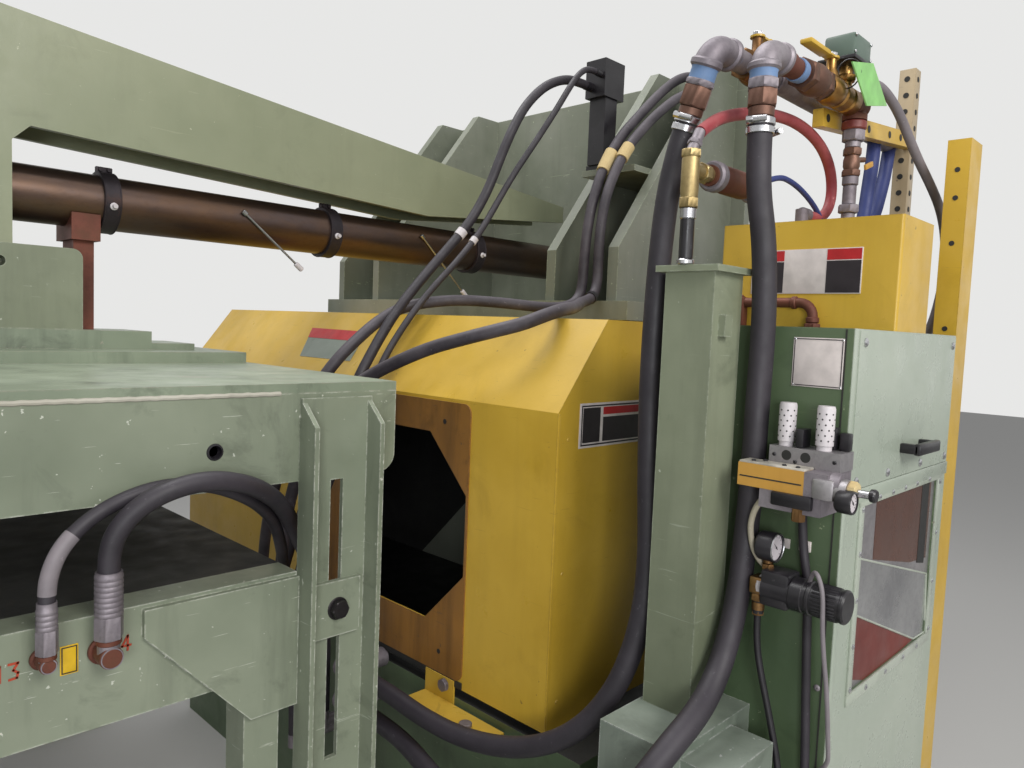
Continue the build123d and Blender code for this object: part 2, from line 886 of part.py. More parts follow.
@piece("valve_stack")
def valve_stack():
    """Stack of black valves on the ribs' level plate, with the fittings of two hoses."""
    low = CROSS_PLATE_Z + CROSS_PLATE_T
    top = low + STACK_H
    foot = block(CROSS_PLATE_X0 + 2, STACK_X1, STACK_Y - 45, STACK_Y + 45, low, low + STACK_FOOT_T)
    middle = (STACK_X0 + STACK_X1) / 2
    neck = block(middle - 32, middle + 32, STACK_Y - 34, STACK_Y + 34, low + STACK_FOOT_T, top - STACK_HEAD_H)
    head = block(STACK_X0 + 8, STACK_X1, STACK_Y - 42, STACK_Y + 42, top - STACK_HEAD_H, top)
    stack = foot + neck + head
    for y, drop, r in STACK_PORTS:
        stack += rod((STACK_MOUTH_X, y, top - drop), (STACK_X0 + 8, y, top - drop), r)
    return stack


@piece("wall_pedestal")
def wall_pedestal():
    """Closed base under the head wall, with an overhanging sill."""
    sill = block(RIB_FRONT_X - 20, SILL_X1, BARREL_Y - WALL_HALF, BARREL_Y + WALL_HALF,
                 WALL_LOW - SILL_T, WALL_LOW)
    return sill + block(PEDESTAL_X0, SILL_X1, BARREL_Y - WALL_HALF + 30, BARREL_Y + WALL_HALF - 30,
                        0, WALL_LOW - SILL_T)


# Side guard

@piece("guard_hood")
def guard_hood():
    outer = [
        (GUARD_X0, GUARD_LOW),
        (GUARD_X0 + SHEET, GUARD_LOW),
        (GUARD_X0 + SHEET, GUARD_SHOULDER - 2),
        (GUARD_RIDGE_X + 2, GUARD_RIDGE - SHEET),
        (GUARD_X1, GUARD_RIDGE - SHEET),
        (GUARD_X1, GUARD_RIDGE),
        (GUARD_RIDGE_X, GUARD_RIDGE),
        (GUARD_X0, GUARD_SHOULDER),
    ]
    hood = plate_xz(outer, GUARD_Y0, GUARD_Y1)
    return hood + guard_end(GUARD_Y0) + guard_end(GUARD_Y1 - SHEET) - octagon_cutter()


def octagon_cutter():
    """Eight-sided opening through the guard's face."""
    face = Plane(origin=(GUARD_X0 - 30, OCTAGON_Y, OCTAGON_Z), x_dir=(0, 1, 0), z_dir=(1, 0, 0))
    return extrude(face * RegularPolygon(OCTAGON_R, 8, rotation=22.5), amount=80)


def guard_end(y0):
    """Flat end sheet of the guard."""
    return plate_xz([
        (GUARD_X0 + SHEET, GUARD_LOW),
        (GUARD_X1, GUARD_LOW),
        (GUARD_X1, GUARD_RIDGE - SHEET),
        (GUARD_RIDGE_X + 2, GUARD_RIDGE - SHEET),
        (GUARD_X0 + SHEET, GUARD_SHOULDER - 2),
    ], y0, y0 + SHEET)


@piece("guard_face_panel")
def guard_face_panel():
    panel = block(GUARD_X0 - PANEL_T, GUARD_X0, PANEL_Y0, PANEL_Y1, PANEL_LOW, PANEL_TOP)
    panel = fillet(panel.edges().filter_by(Axis.X), 25)
    return panel - octagon_cutter()


@piece("guard_bracket")
def guard_bracket():
    upright = block(GUARD_X0 - 6, GUARD_X0, -452, -340, GUARD_LOW - 50, GUARD_LOW + 16)
    shelf_plate = block(GUARD_X0 - 90, GUARD_X0 - 6, -640, -340, GUARD_LOW - 50, GUARD_LOW - 44)
    return upright + shelf_plate


# Service column

@piece("service_column")
def service_column():
    y0 = COLUMN_Y1 - COLUMN
    tube = block(COLUMN_X0, COLUMN_X0 + COLUMN, y0, COLUMN_Y1, COLUMN_FOOT, COLUMN_TOP)
    cap = block(COLUMN_X0 - CAP_OVERHANG, COLUMN_X0 + COLUMN + CAP_OVERHANG,
                y0 - CAP_OVERHANG, COLUMN_Y1 + CAP_OVERHANG, COLUMN_TOP, COLUMN_TOP + CAP_T)
    lug = block(COLUMN_X0 + 22, COLUMN_X0 + 48, y0 - 14, y0, 1600, 1640)
    return tube + cap + lug


@piece("column_plinth")
def column_plinth():
    """Two stepped boxes that carry the column, tied to the cabinet."""
    y0 = COLUMN_Y1 - COLUMN - PLINTH_RIM_Y
    main = block(PLINTH_X0, CABINET_X0, y0, COLUMN_Y1 + 10, 0, COLUMN_FOOT)
    side = block(PLINTH_X0 + 22, PLINTH_STEP_X1, y0 - PLINTH_STEP, y0, 0, COLUMN_FOOT - 18)
    return main + side


# Service cabinet

@piece("service_cabinet")
def service_cabinet():
    t = CABINET_T
    outer = block(CABINET_X0, CABINET_X1, CABINET_Y0, CABINET_Y1, CABINET_LOW, CABINET_TOP)
    inner = block(CABINET_X0 + t, CABINET_X1 - t, CABINET_Y0 + t, CABINET_Y1 - t,
                  CABINET_LOW + t, CABINET_TOP - t)
    window = block(WINDOW_X0, WINDOW_X1, CABINET_Y0 - 5, CABINET_Y0 + 10, WINDOW_LOW, WINDOW_TOP)
    plinth = block(CABINET_X0 + 40, CABINET_X1 - 40, CABINET_Y0 + 40, CABINET_Y1 - 40, 0, CABINET_LOW)
    return outer - inner - window + plinth


@piece("base_housing")
def base_housing():
    """Closed base under the guard, with a floor beam that ties the cabinet to it."""
    body = block(GUARD_X0, PEDESTAL_X0, BASE_Y0, BASE_Y1, 0, BASE_TOP)
    return body + block(PEDESTAL_X0 - 160, PEDESTAL_X0, CABINET_Y1, BASE_Y0, 0, 100)


@piece("hose_fittings")
def hose_fittings():
    """Ports of the frame, elbows on the base's face, and the small elbows on box and cabinet."""
    elbows = port_elbows() + [box_elbow(), cabinet_elbow()]
    for z in ELBOW_HEIGHTS:
        stub = rod((ELBOW_X, ELBOW_MOUTH_Y + ELBOW_BODY_R + 20, z), (GUARD_X0, ELBOW_MOUTH_Y + ELBOW_BODY_R + 20, z),
                   ELBOW_BODY_R)
        mouth = rod((ELBOW_X, ELBOW_MOUTH_Y, z), (ELBOW_X, ELBOW_MOUTH_Y + 2 * ELBOW_BODY_R + 20, z), ELBOW_BODY_R + 2)
        elbows.append(stub + mouth)
    for x, y, z, r in UPRIGHT_ELBOWS:
        elbows.append(rod((x, y, z - 3 * r), (x, y, z), r) + rod((x, y, z - 2 * r), (GUARD_X0, y, z - 2 * r), r - 1))
    return Compound(elbows)


@piece("cabinet_door")
def cabinet_door():
    door = block(CABINET_X0 + 20, CABINET_X1 - 12, CABINET_Y0 - DOOR_T, CABINET_Y0, DOOR_LOW, CABINET_TOP - 4)
    return door


@piece("door_handle")
def door_handle():
    y = CABINET_Y0 - DOOR_T
    grip = block(450, 650, y - 40, y - 26, 1376, 1400)
    left = block(450, 468, y - 26, y, 1376, 1400)
    right = block(632, 650, y - 26, y, 1376, 1400)
    return grip + left + right


@piece("cabinet_window")
def cabinet_window():
    return block(WINDOW_X0 - 10, WINDOW_X1 + 10, CABINET_Y0 + CABINET_T, CABINET_Y0 + CABINET_T + 3,
                 WINDOW_LOW - 10, WINDOW_TOP + 10)


@piece("yellow_box")
def yellow_box():
    box = block(BOX_X0, BOX_X1, CABINET_Y0, BOX_Y1, CABINET_TOP, BOX_TOP)
    return fillet(box.edges().filter_by(Axis.Z), 6)


@piece("yellow_end_post")
def yellow_end_post():
    return block(CABINET_X1, CABINET_X1 + END_POST, CABINET_Y0, CABINET_Y0 + 50, 0, END_POST_TOP)


# Mould clamp beyond the wall

TIE_BAR_HEIGHTS = (PLATEN_LOW + TIE_BAR_IN, PLATEN_TOP - TIE_BAR_IN)


@piece("clamp_bed")
def clamp_bed():
    return block(SILL_X1, MACHINE_X1, BARREL_Y - CLAMP_BED_HALF, BARREL_Y + CLAMP_BED_HALF, 0, CLAMP_BED_TOP)


@piece("clamp_platens")
def clamp_platens():
    plates = []
    for x in PLATEN_STATIONS:
        plate = block(x, x + PLATEN_T, BARREL_Y - PLATEN_HALF, BARREL_Y + PLATEN_HALF, CLAMP_BED_TOP, PLATEN_TOP)
        for y in (-1, 1):
            for z in TIE_BAR_HEIGHTS:
                bar_y = BARREL_Y + y * TIE_BAR_HALF
                plate -= rod((x - 5, bar_y, z), (x + PLATEN_T + 5, bar_y, z), TIE_BAR_R + TIE_BAR_FIT)
        plates.append(plate)
    return Compound(plates)


@piece("tie_bars")
def tie_bars():
    bars = []
    for y in (-1, 1):
        for z in TIE_BAR_HEIGHTS:
            bar_y = BARREL_Y + y * TIE_BAR_HALF
            x0 = PLATEN_STATIONS[0] - TIE_BAR_END
            x1 = PLATEN_STATIONS[-1] + PLATEN_T + TIE_BAR_END / 2
            bars.append(rod((x0, bar_y, z), (x1, bar_y, z), TIE_BAR_R))
    return Compound(bars)


@piece("die_head")
def die_head():
    """Block on the wall's back, with the round die below its far end."""
    x0 = WALL_X + WALL_T
    low = BARREL_Z - DIE_BELOW
    body = block(x0, x0 + DIE_REACH, BARREL_Y - DIE_HALF, BARREL_Y + DIE_HALF, low, BARREL_Z + DIE_ABOVE)
    x = x0 + DIE_REACH - DIE_R - 10
    return body + rod((x, BARREL_Y, low - DIE_DROP), (x, BARREL_Y, low), DIE_R)


# Water pipework

def water_elbow(x, y, z, tilt):
    """Elbow and union at the end of a level pipe, swung about the pipe."""
    low = z - ELBOW_SWEEP
    collar = rod((x + ELBOW_SWEEP, y, z), (x + ELBOW_SWEEP + 22, y, z), ELBOW_R + 3)
    drop = rod((x, y, low - 22), (x, y, low), ELBOW_R + 3)
    plane = Plane(origin=(0, y, 0), x_dir=(1, 0, 0), z_dir=(0, -1, 0))
    curve = plane * RadiusArc((x, low), (x + ELBOW_SWEEP, z), ELBOW_SWEEP)
    bend = sweep(Plane(origin=(x, y, low), z_dir=(0, 0, 1)) * Circle(ELBOW_R), path=curve)
    union = rod((x, y, z - UNION_END), (x, y, low - 22), UNION_R)
    return (collar + drop + bend + union).rotate(Axis((x, y, z), (1, 0, 0)), tilt)


@piece("water_pipes")
def water_pipes():
    """Two level pipes with their elbows, and the small drop to the yellow box."""
    left = water_elbow(LEFT_DROP_X, LEFT_PIPE_Y, LEFT_PIPE_Z, LEFT_TILT)
    left += rod((LEFT_DROP_X + ELBOW_SWEEP, LEFT_PIPE_Y, LEFT_PIPE_Z),
                (STRUT_POST_X, LEFT_PIPE_Y, LEFT_PIPE_Z), PIPE_R)
    right = water_elbow(RIGHT_DROP_X, RIGHT_PIPE_Y, RIGHT_PIPE_Z, 0)
    right += rod((RIGHT_DROP_X + ELBOW_SWEEP, RIGHT_PIPE_Y, RIGHT_PIPE_Z),
                 (DROP_X, RIGHT_PIPE_Y, RIGHT_PIPE_Z), PIPE_R)
    right += rod((DROP_X, RIGHT_PIPE_Y, RIGHT_PIPE_Z - 90), (DROP_X, RIGHT_PIPE_Y, RIGHT_PIPE_Z + 34), DROP_R)
    right += rod((DROP_X, RIGHT_PIPE_Y, BOX_TOP), (DROP_X, RIGHT_PIPE_Y, RIGHT_PIPE_Z - 90), 13)
    right += rod((DROP_X, RIGHT_PIPE_Y, BOX_TOP + 60), (DROP_X, RIGHT_PIPE_Y, BOX_TOP + 110), 19)
    return Compound([left, right])


@piece("pipe_rail")
def pipe_rail():
    """Flat bar that steadies the pipes, welded to the strut post."""
    y1 = STRUT_POST_Y
    bar = block(RAIL_BAR_X0, STRUT_POST_X + STRUT_POST, y1 - RAIL_BAR_T, y1, RAIL_BAR_LOW,
                RAIL_BAR_LOW + RAIL_BAR_H)
    return bar + block(STRUT_POST_X, STRUT_POST_X + STRUT_POST, y1, y1 + STRUT_POST, 0, STRUT_POST_TOP)


# Ball valves with levers that turn about their upright stems

def valve_body(x, y, z):
    """Body around the pipe, with a neck, a stem and a nut over the lever."""
    body = pipe((x - VALVE_LENGTH / 2, y, z), (x + VALVE_LENGTH / 2, y, z), VALVE_R, PIPE_R)
    neck = rod((x, y, z + VALVE_R - 6), (x, y, lever_low(z)), 12)
    stem = rod((x, y, lever_low(z)), (x, y, lever_low(z) + LEVER_T + 2 * LEVER_GAP), STEM_R)
    top = lever_low(z) + LEVER_T + 2 * LEVER_GAP
    nut = extrude(Plane(origin=(x, y, top)) * RegularPolygon(10, 6), amount=8)
    return body + neck + stem + nut


def lever_low(z):
    """Height of the shoulder that the lever turns on."""
    return z + VALVE_R + 26


def valve_lever(x, y, z, way):
    """Flat lever from the stem towards +X or -X."""
    z0 = lever_low(z) + LEVER_GAP
    boss = Pos(x, y, z0) * Cylinder(15, LEVER_T, align=(Align.CENTER, Align.CENTER, Align.MIN))
    arm = block(min(x, x + way * LEVER_LENGTH), max(x, x + way * LEVER_LENGTH), y - LEVER_W / 2,
                y + LEVER_W / 2, z0, z0 + LEVER_T)
    arm = fillet(arm.edges().filter_by(Axis.Z), 8)
    bore = Pos(x, y, z0 - 1) * Cylinder(STEM_R + LEVER_BORE_GAP, LEVER_T + 2,
                                        align=(Align.CENTER, Align.CENTER, Align.MIN))
    return boss + arm - bore


@piece("ball_valves")
def ball_valves():
    return Compound([valve_body(LEFT_VALVE_X, LEFT_PIPE_Y, LEFT_PIPE_Z),
                     valve_body(RIGHT_VALVE_X, RIGHT_PIPE_Y, RIGHT_PIPE_Z)])


@piece("left_valve_lever")
def left_valve_lever():
    return valve_lever(LEFT_VALVE_X, LEFT_PIPE_Y, LEFT_PIPE_Z, 1)


@piece("right_valve_lever")
def right_valve_lever():
    return valve_lever(RIGHT_VALVE_X, RIGHT_PIPE_Y, RIGHT_PIPE_Z, -1)


@piece("strainer")
def strainer():
    body = rod((STRAINER_X0, STRAINER_Y, STRAINER_Z), (STRAINER_X1, STRAINER_Y, STRAINER_Z), STRAINER_R)
    for x in (STRAINER_X0, STRAINER_X1 - 24):
        body += rod((x, STRAINER_Y, STRAINER_Z), (x + 24, STRAINER_Y, STRAINER_Z), STRAINER_R + 4)
    return body


@piece("strainer_tee")
def strainer_tee():
    """Brass tee beside the strainer, on a riser that stands on the column's cap."""
    riser = rod((TEE_X, STRAINER_Y, COLUMN_TOP + CAP_T), (TEE_X, STRAINER_Y, STRAINER_Z - 50), RISER_R)
    body = rod((TEE_X, STRAINER_Y, STRAINER_Z - 50), (TEE_X, STRAINER_Y, STRAINER_Z + 46), 19)
    branch = rod((TEE_X, STRAINER_Y, STRAINER_Z), (STRAINER_X0, STRAINER_Y, STRAINER_Z), 16)
    start, second = HOSES["red_hose"][1][:2]
    back = Vector(*start) + (Vector(*start) - Vector(*second)).normalized() * TEE_FITTING
    return riser + body + branch + rod(tuple(back), start, 13)


# Air equipment on the cabinet's side

@piece("air_manifold")
def air_manifold():
    return block(MANIFOLD_X0, AIR_X, -1370, -1240, MANIFOLD_LOW, MANIFOLD_TOP)


@piece("exhaust_mufflers")
def exhaust_mufflers():
    x = MANIFOLD_X0 + 20
    return Compound([rod((x, y, MANIFOLD_TOP), (x, y, MANIFOLD_TOP + 80), 18) for y in (-1262, -1332)])


@piece("slide_valve")
def slide_valve():
    """Flat slide valve across the manifold's front, clear of the big hose behind it."""
    return block(VALVE_X0, VALVE_X1, -1326, -1202, VALVE_LOW, MANIFOLD_LOW)


@piece("shutoff_valve")
def shutoff_valve():
    """Round valve body beside the slide, on a dark block under the manifold, with a push knob."""
    x = VALVE_X0 + 20
    z = VALVE_LOW + 22
    body = block(VALVE_X0, AIR_X, -1368, -1326, VALVE_LOW, MANIFOLD_LOW)
    body += block(VALVE_X0 + 4, AIR_X, -1356, -1244, 1297, VALVE_LOW)
    cap = rod((x, -1386, z), (x, -1368, z), 24)
    stem = rod((x, -1392, z), (x, -1386, z), 7)
    knob = rod((x, -1400, z), (x, -1392, z), 12)
    return body + cap + stem + knob


@piece("pressure_gauges")
def pressure_gauges():
    """Round gauge under the valve and a second one on the regulator."""
    x = VALVE_X0 + 14
    first = rod((x, -1396, 1303), (x, -1368, 1303), 24) + rod((x, -1368, 1303), (x, -1356, 1303), 8)
    y = REGULATOR_Y1 - 42
    second = rod((REGULATOR_X, y - 13, 1222), (REGULATOR_X, y + 13, 1222), 25)
    second += rod((REGULATOR_X, y, REGULATOR_Z + REGULATOR_R + 5), (REGULATOR_X, y, 1200), 8)
    return Compound([first, second])


@piece("air_regulator")
def air_regulator():
    """Regulator lying along the cabinet on a foot, with a brass elbow at its inner end."""
    x = REGULATOR_X
    body = rod((x, REGULATOR_Y0, REGULATOR_Z), (x, REGULATOR_Y1 - 20, REGULATOR_Z), REGULATOR_R)
    body += block(x - 24, x + 24, REGULATOR_Y1 - 70, REGULATOR_Y1 - 20, REGULATOR_Z, REGULATOR_Z + REGULATOR_R + 5)
    foot = block(x, AIR_X, REGULATOR_Y1 - 70, REGULATOR_Y1 - 20, REGULATOR_Z - 20, REGULATOR_Z + 20)
    elbow = block(x - 14, x + 14, REGULATOR_Y1 - 20, REGULATOR_Y1 + 6, REGULATOR_Z - 16, REGULATOR_Z + 14)
    elbow += rod((x, REGULATOR_ELBOW_Y, REGULATOR_Z - 55), (x, REGULATOR_ELBOW_Y, REGULATOR_Z - 16), 11)
    return body + foot + elbow


def port_elbows():
    """Steel elbows, hexagons and ferrules of the two hydraulic ports."""
    ports = []
    for x, bend_z, hex_z, end_z, r, ferrule_r in PORTS:
        y = NEAR_FACE - PORT_REACH
        elbow = rod((x, NEAR_FACE, bend_z), (x, y - r, bend_z), r)
        elbow += rod((x, y, bend_z), (x, y, hex_z), r)
        hexagon = extrude(Plane(origin=(x, y, hex_z)) * RegularPolygon(ferrule_r + 2, 6), amount=PORT_HEX)
        ferrule = rod((x, y, hex_z + PORT_HEX), (x, y, end_z), ferrule_r)
        ports.append(elbow + hexagon + ferrule)
    return ports


def box_elbow():
    """Elbow on the yellow box that takes the red hose."""
    x, y, z = BOX_ELBOW
    return rod((x, y, BOX_TOP), (x, y, z + 10), 14) + rod((x, y, z), (x + BOX_ELBOW_REACH, y, z), 15)


def cabinet_elbow():
    """Elbow low on the cabinet's side that takes the regulator's hose."""
    x, y, z = CABINET_ELBOW
    return rod((x, y, z - 28), (x, y, z), 9) + rod((x, y, z - 20), (CABINET_X0, y, z - 20), 8)


def both_sides(shape):
    """The piece and its like on the other side of the barrel."""
    return Compound([shape, mirror_side(shape)])


@piece("upper_beams")
def upper_beams():
    return both_sides(upper_beam())


@piece("lower_beams")
def lower_beams():
    return both_sides(lower_beam())


@piece("slotted_posts")
def slotted_posts():
    return both_sides(slotted_post())


@piece("slot_clamps")
def slot_clamps():
    return both_sides(slot_clamp())


@piece("frame_legs")
def frame_legs():
    near = Compound([rear_leg(), inner_leg()])
    return Compound([near, mirror_side(near)])


# Hoses

def hose(points, diameter, name):
    """Round hose of straight runs joined by tangent arcs as large as the runs allow."""
    vectors = [Vector(*point) for point in points]
    runs = [b - a for a, b in zip(vectors, vectors[1:])]
    radii = []
    for before, after in zip(runs, runs[1:]):
        turn = math.radians(before.get_angle(after))
        shorter = min(before.length, after.length)
        radii.append(HOSE_ARC_SHARE * shorter / math.tan(turn / 2))
    route = FilletPolyline(*points, radius=radii)
    start = Plane(origin=vectors[0], z_dir=runs[0])
    tube = sweep(start * Circle(diameter / 2), path=route)
    ratio = tube.volume / (math.pi * diameter ** 2 / 4 * route.length)
    print(name, "smallest radius in diameters", round(min(radii) / diameter, 1),
          "length", round(route.length), "volume ratio", round(ratio, 4))
    return tube


def register_hoses():
    """One node for each hose."""
    for name, (diameter, points) in HOSES.items():
        PIECES[name] = lambda points=points, diameter=diameter, name=name: hose(points, diameter, name)


register_hoses()


def build_all():
    os.makedirs("parts", exist_ok=True)
    for name, build in PIECES.items():
        shape = build()
        shape.label = name
        export_step(shape, os.path.join("parts", name + ".step"))


build_all()
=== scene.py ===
import math

import bmesh
import bpy
from mathutils import Matrix, Vector


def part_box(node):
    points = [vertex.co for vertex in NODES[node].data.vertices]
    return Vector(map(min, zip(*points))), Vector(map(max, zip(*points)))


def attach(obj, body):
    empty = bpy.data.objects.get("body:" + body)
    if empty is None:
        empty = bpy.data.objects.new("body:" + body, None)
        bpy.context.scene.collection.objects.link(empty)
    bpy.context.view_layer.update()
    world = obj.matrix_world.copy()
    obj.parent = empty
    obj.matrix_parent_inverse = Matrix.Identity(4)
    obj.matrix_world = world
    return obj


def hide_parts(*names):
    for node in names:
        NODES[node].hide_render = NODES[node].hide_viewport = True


# The frame, in metres: +X along the extruder barrel, +Y to the far side, +Z up
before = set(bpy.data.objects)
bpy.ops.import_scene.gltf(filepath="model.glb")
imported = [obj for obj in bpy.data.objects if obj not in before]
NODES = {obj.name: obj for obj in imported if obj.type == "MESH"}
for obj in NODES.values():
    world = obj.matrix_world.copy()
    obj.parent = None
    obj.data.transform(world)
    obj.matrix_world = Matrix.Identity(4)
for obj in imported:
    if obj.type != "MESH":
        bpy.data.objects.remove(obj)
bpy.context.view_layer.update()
MACHINE = "machine"
X = Vector((1, 0, 0))
Y = Vector((0, 1, 0))
Z = Vector((0, 0, 1))

# Shapes and cords are in millimetres, MM to the frame's metre
MM = 1000
# Steepest bend that shades smoothly, and thickness of printed areas and spots
SMOOTH_BELOW = math.radians(35)
PRINT = 0.6

# Camera, solved from the photograph's straight edges
CAMERA_PLACE = Vector((-1.25, -1.88, 1.6))
CAMERA_YAW = math.radians(44.26)
CAMERA_PITCH = math.radians(-4.15)
CAMERA_ROLL = math.radians(2.34)
CAMERA_LENS = 27.10

WORLD_LIGHT = (0.95, 0.97, 1.0)
WORLD_STRENGTH = 0.32
BACKDROP = (0.80, 0.80, 0.79)
FLOOR_SIZE = 40
FLOOR_COLOUR = (0.55, 0.54, 0.52)

# Lamps: name, place, target, size, power, colour
LAMPS = (
    ("key", (-0.9, -5.0, 4.0), (0.2, -0.6, 1.2), 2.0, 160, (1.0, 0.98, 0.95)),
    ("fill", (-3.0, -3.8, 1.8), (0.2, -0.7, 1.1), 1.2, 66, (0.95, 0.98, 1.0)),
    ("top", (-0.4, 0.6, 5.4), (-0.4, 0.6, 0), 3.0, 150, (1.0, 1.0, 1.0)),
)


class Tree:
    """Short names for building a node tree."""

    def __init__(self, tree):
        self.tree = tree

    def put(self, socket, value):
        """Links a socket, or sets a plain number or colour."""
        if isinstance(value, bpy.types.NodeSocket):
            self.tree.links.new(value, socket)
        elif isinstance(value, tuple) and socket.type == "RGBA":
            socket.default_value = (*value, 1)
        else:
            socket.default_value = value

    def add(self, kind, output, inputs=None, **settings):
        """Adds a node with its settings and inputs, and gives one of its outputs."""
        node = self.tree.nodes.new("ShaderNode" + kind)
        for name, value in settings.items():
            setattr(node, name, value)
        for socket, value in (inputs or {}).items():
            self.put(node.inputs[socket], value)
        return node.outputs[output]

    def maths(self, operation, first, second=0.0):
        return self.add("Math", 0, {0: first, 1: second}, operation=operation)


def add_camera():
    """Camera at the photograph's place, with its small roll."""
    forward = Vector((math.cos(CAMERA_PITCH) * math.cos(CAMERA_YAW),
                      math.cos(CAMERA_PITCH) * math.sin(CAMERA_YAW),
                      math.sin(CAMERA_PITCH)))
    level = Vector((math.sin(CAMERA_YAW), -math.cos(CAMERA_YAW), 0))
    upright = level.cross(forward)
    right = math.cos(CAMERA_ROLL) * level + math.sin(CAMERA_ROLL) * upright
    up = math.cos(CAMERA_ROLL) * upright - math.sin(CAMERA_ROLL) * level
    data = bpy.data.cameras.new("camera")
    data.sensor_width = 36
    data.lens = CAMERA_LENS
    data.clip_start = 0.05
    data.clip_end = 100
    camera = bpy.data.objects.new("camera", data)
    bpy.context.scene.collection.objects.link(camera)
    turn = Matrix((right, up, -forward)).transposed()
    camera.matrix_world = Matrix.Translation(CAMERA_PLACE) @ turn.to_4x4()
    bpy.context.scene.camera = camera


def add_area_light(name, place, target, size, power, colour):
    """Soft square lamp that faces a point."""
    data = bpy.data.lights.new(name, "AREA")
    data.shape = "SQUARE"
    data.size = size
    data.energy = power
    data.color = colour
    lamp = bpy.data.objects.new(name, data)
    lamp.location = place
    lamp.rotation_mode = "QUATERNION"
    lamp.rotation_quaternion = (Vector(target) - Vector(place)).to_track_quat("-Z", "Y")
    bpy.context.scene.collection.objects.link(lamp)


def add_world():
    """Even light from all round, and a plain pale backdrop where the camera looks past the machine."""
    world = bpy.data.worlds.new("studio")
    world.use_nodes = True
    world.node_tree.nodes.clear()
    tree = Tree(world.node_tree)
    light = tree.add("Background", 0, {"Color": WORLD_LIGHT, "Strength": WORLD_STRENGTH})
    backdrop = tree.add("Background", 0, {"Color": BACKDROP, "Strength": 1})
    seen = tree.add("LightPath", "Is Camera Ray")
    for kind in ("Is Glossy Ray", "Is Transmission Ray"):
        seen = tree.maths("MAXIMUM", seen, tree.add("LightPath", kind))
    output = world.node_tree.nodes.new("ShaderNodeOutputWorld")
    tree.put(output.inputs["Surface"], tree.add("MixShader", 0, {0: seen, 1: light, 2: backdrop}))
    bpy.context.scene.world = world


def add_floor():
    """Plain pale floor."""
    mesh = bpy.data.meshes.new("floor")
    half = FLOOR_SIZE / 2
    corners = [(-half, -half, 0), (half, -half, 0), (half, half, 0), (-half, half, 0)]
    mesh.from_pydata(corners, [], [(0, 1, 2, 3)])
    floor = bpy.data.objects.new("floor", mesh)
    material = bpy.data.materials.new("pale_floor")
    material.use_nodes = True
    shader = material.node_tree.nodes["Principled BSDF"]
    shader.inputs["Base Color"].default_value = (*FLOOR_COLOUR, 1)
    shader.inputs["Roughness"].default_value = 0.9
    mesh.materials.append(material)
    bpy.context.scene.collection.objects.link(floor)


bpy.context.scene.view_settings.view_transform = "Standard"
add_camera()
add_world()
add_floor()
for lamp in LAMPS:
    add_area_light(*lamp)


# Materials

def srgb(*colours):
    """Linear colours of sRGB ones given from 0 to 255."""
    def linear(value):
        value /= 255
        return value / 12.92 if value <= 0.04045 else ((value + 0.055) / 1.055) ** 2.4
    return [tuple(linear(channel) for channel in colour) for colour in colours]


def shade(colour, factor, lift=0.0):
    """Darker or lighter version of a colour."""
    return tuple(min(1.0, channel * factor + lift) for channel in colour)


class Paint(Tree):
    """A material's node tree, with the patterns that its finish is made of."""

    def __init__(self, name):
        self.material = bpy.data.materials.new(name)
        self.material.use_nodes = True
        super().__init__(self.material.node_tree)
        self.shader = self.tree.nodes["Principled BSDF"]
        self.place = self.add("TexCoord", "Object")

    def stretch(self, scale):
        """Object coordinates scaled unevenly."""
        return self.add("Mapping", "Vector", {"Vector": self.place, "Scale": scale})

    def noise(self, scale, detail=4.0, rough=0.55, vector=None, warp=0.0):
        return self.add("TexNoise", "Fac", {"Vector": vector or self.place, "Scale": scale, "Detail": detail,
                                            "Roughness": rough, "Distortion": warp})

    def ramp(self, value, low, high, start=0.0, end=1.0):
        """Value mapped from low..high to start..end, clamped."""
        return self.add("MapRange", "Result", {"Value": value, "From Min": low, "From Max": high,
                                               "To Min": start, "To Max": end})

    def mix(self, factor, first, second):
        return self.add("Mix", 2, {0: factor, 6: first, 7: second}, data_type="RGBA")

    def normal(self):
        return self.add("NewGeometry", "Normal")

    def edges(self, radius, low=0.05, high=0.35):
        """1 on edges, 0 on flat faces."""
        bevel = self.add("Bevel", "Normal", {"Radius": radius}, samples=4)
        alike = self.add("VectorMath", "Value", {0: bevel, 1: self.normal()}, operation="DOT_PRODUCT")
        return self.ramp(self.maths("SUBTRACT", 1.0, alike), low, high)

    def facing_up(self, low=0.3, high=0.9):
        """1 on faces that look up."""
        return self.ramp(self.add("SeparateXYZ", "Z", {0: self.normal()}), low, high)

    def finish(self, colour, rough, height, strength, distance, metal=0.0):
        """Sets the shader's colour, roughness, metal and bumps."""
        bump = self.add("Bump", "Normal", {"Strength": strength, "Distance": distance, "Height": height})
        for socket, value in (("Base Color", colour), ("Roughness", rough), ("Metallic", metal),
                              ("Normal", bump)):
            self.put(self.shader.inputs[socket], value)
        return self.material


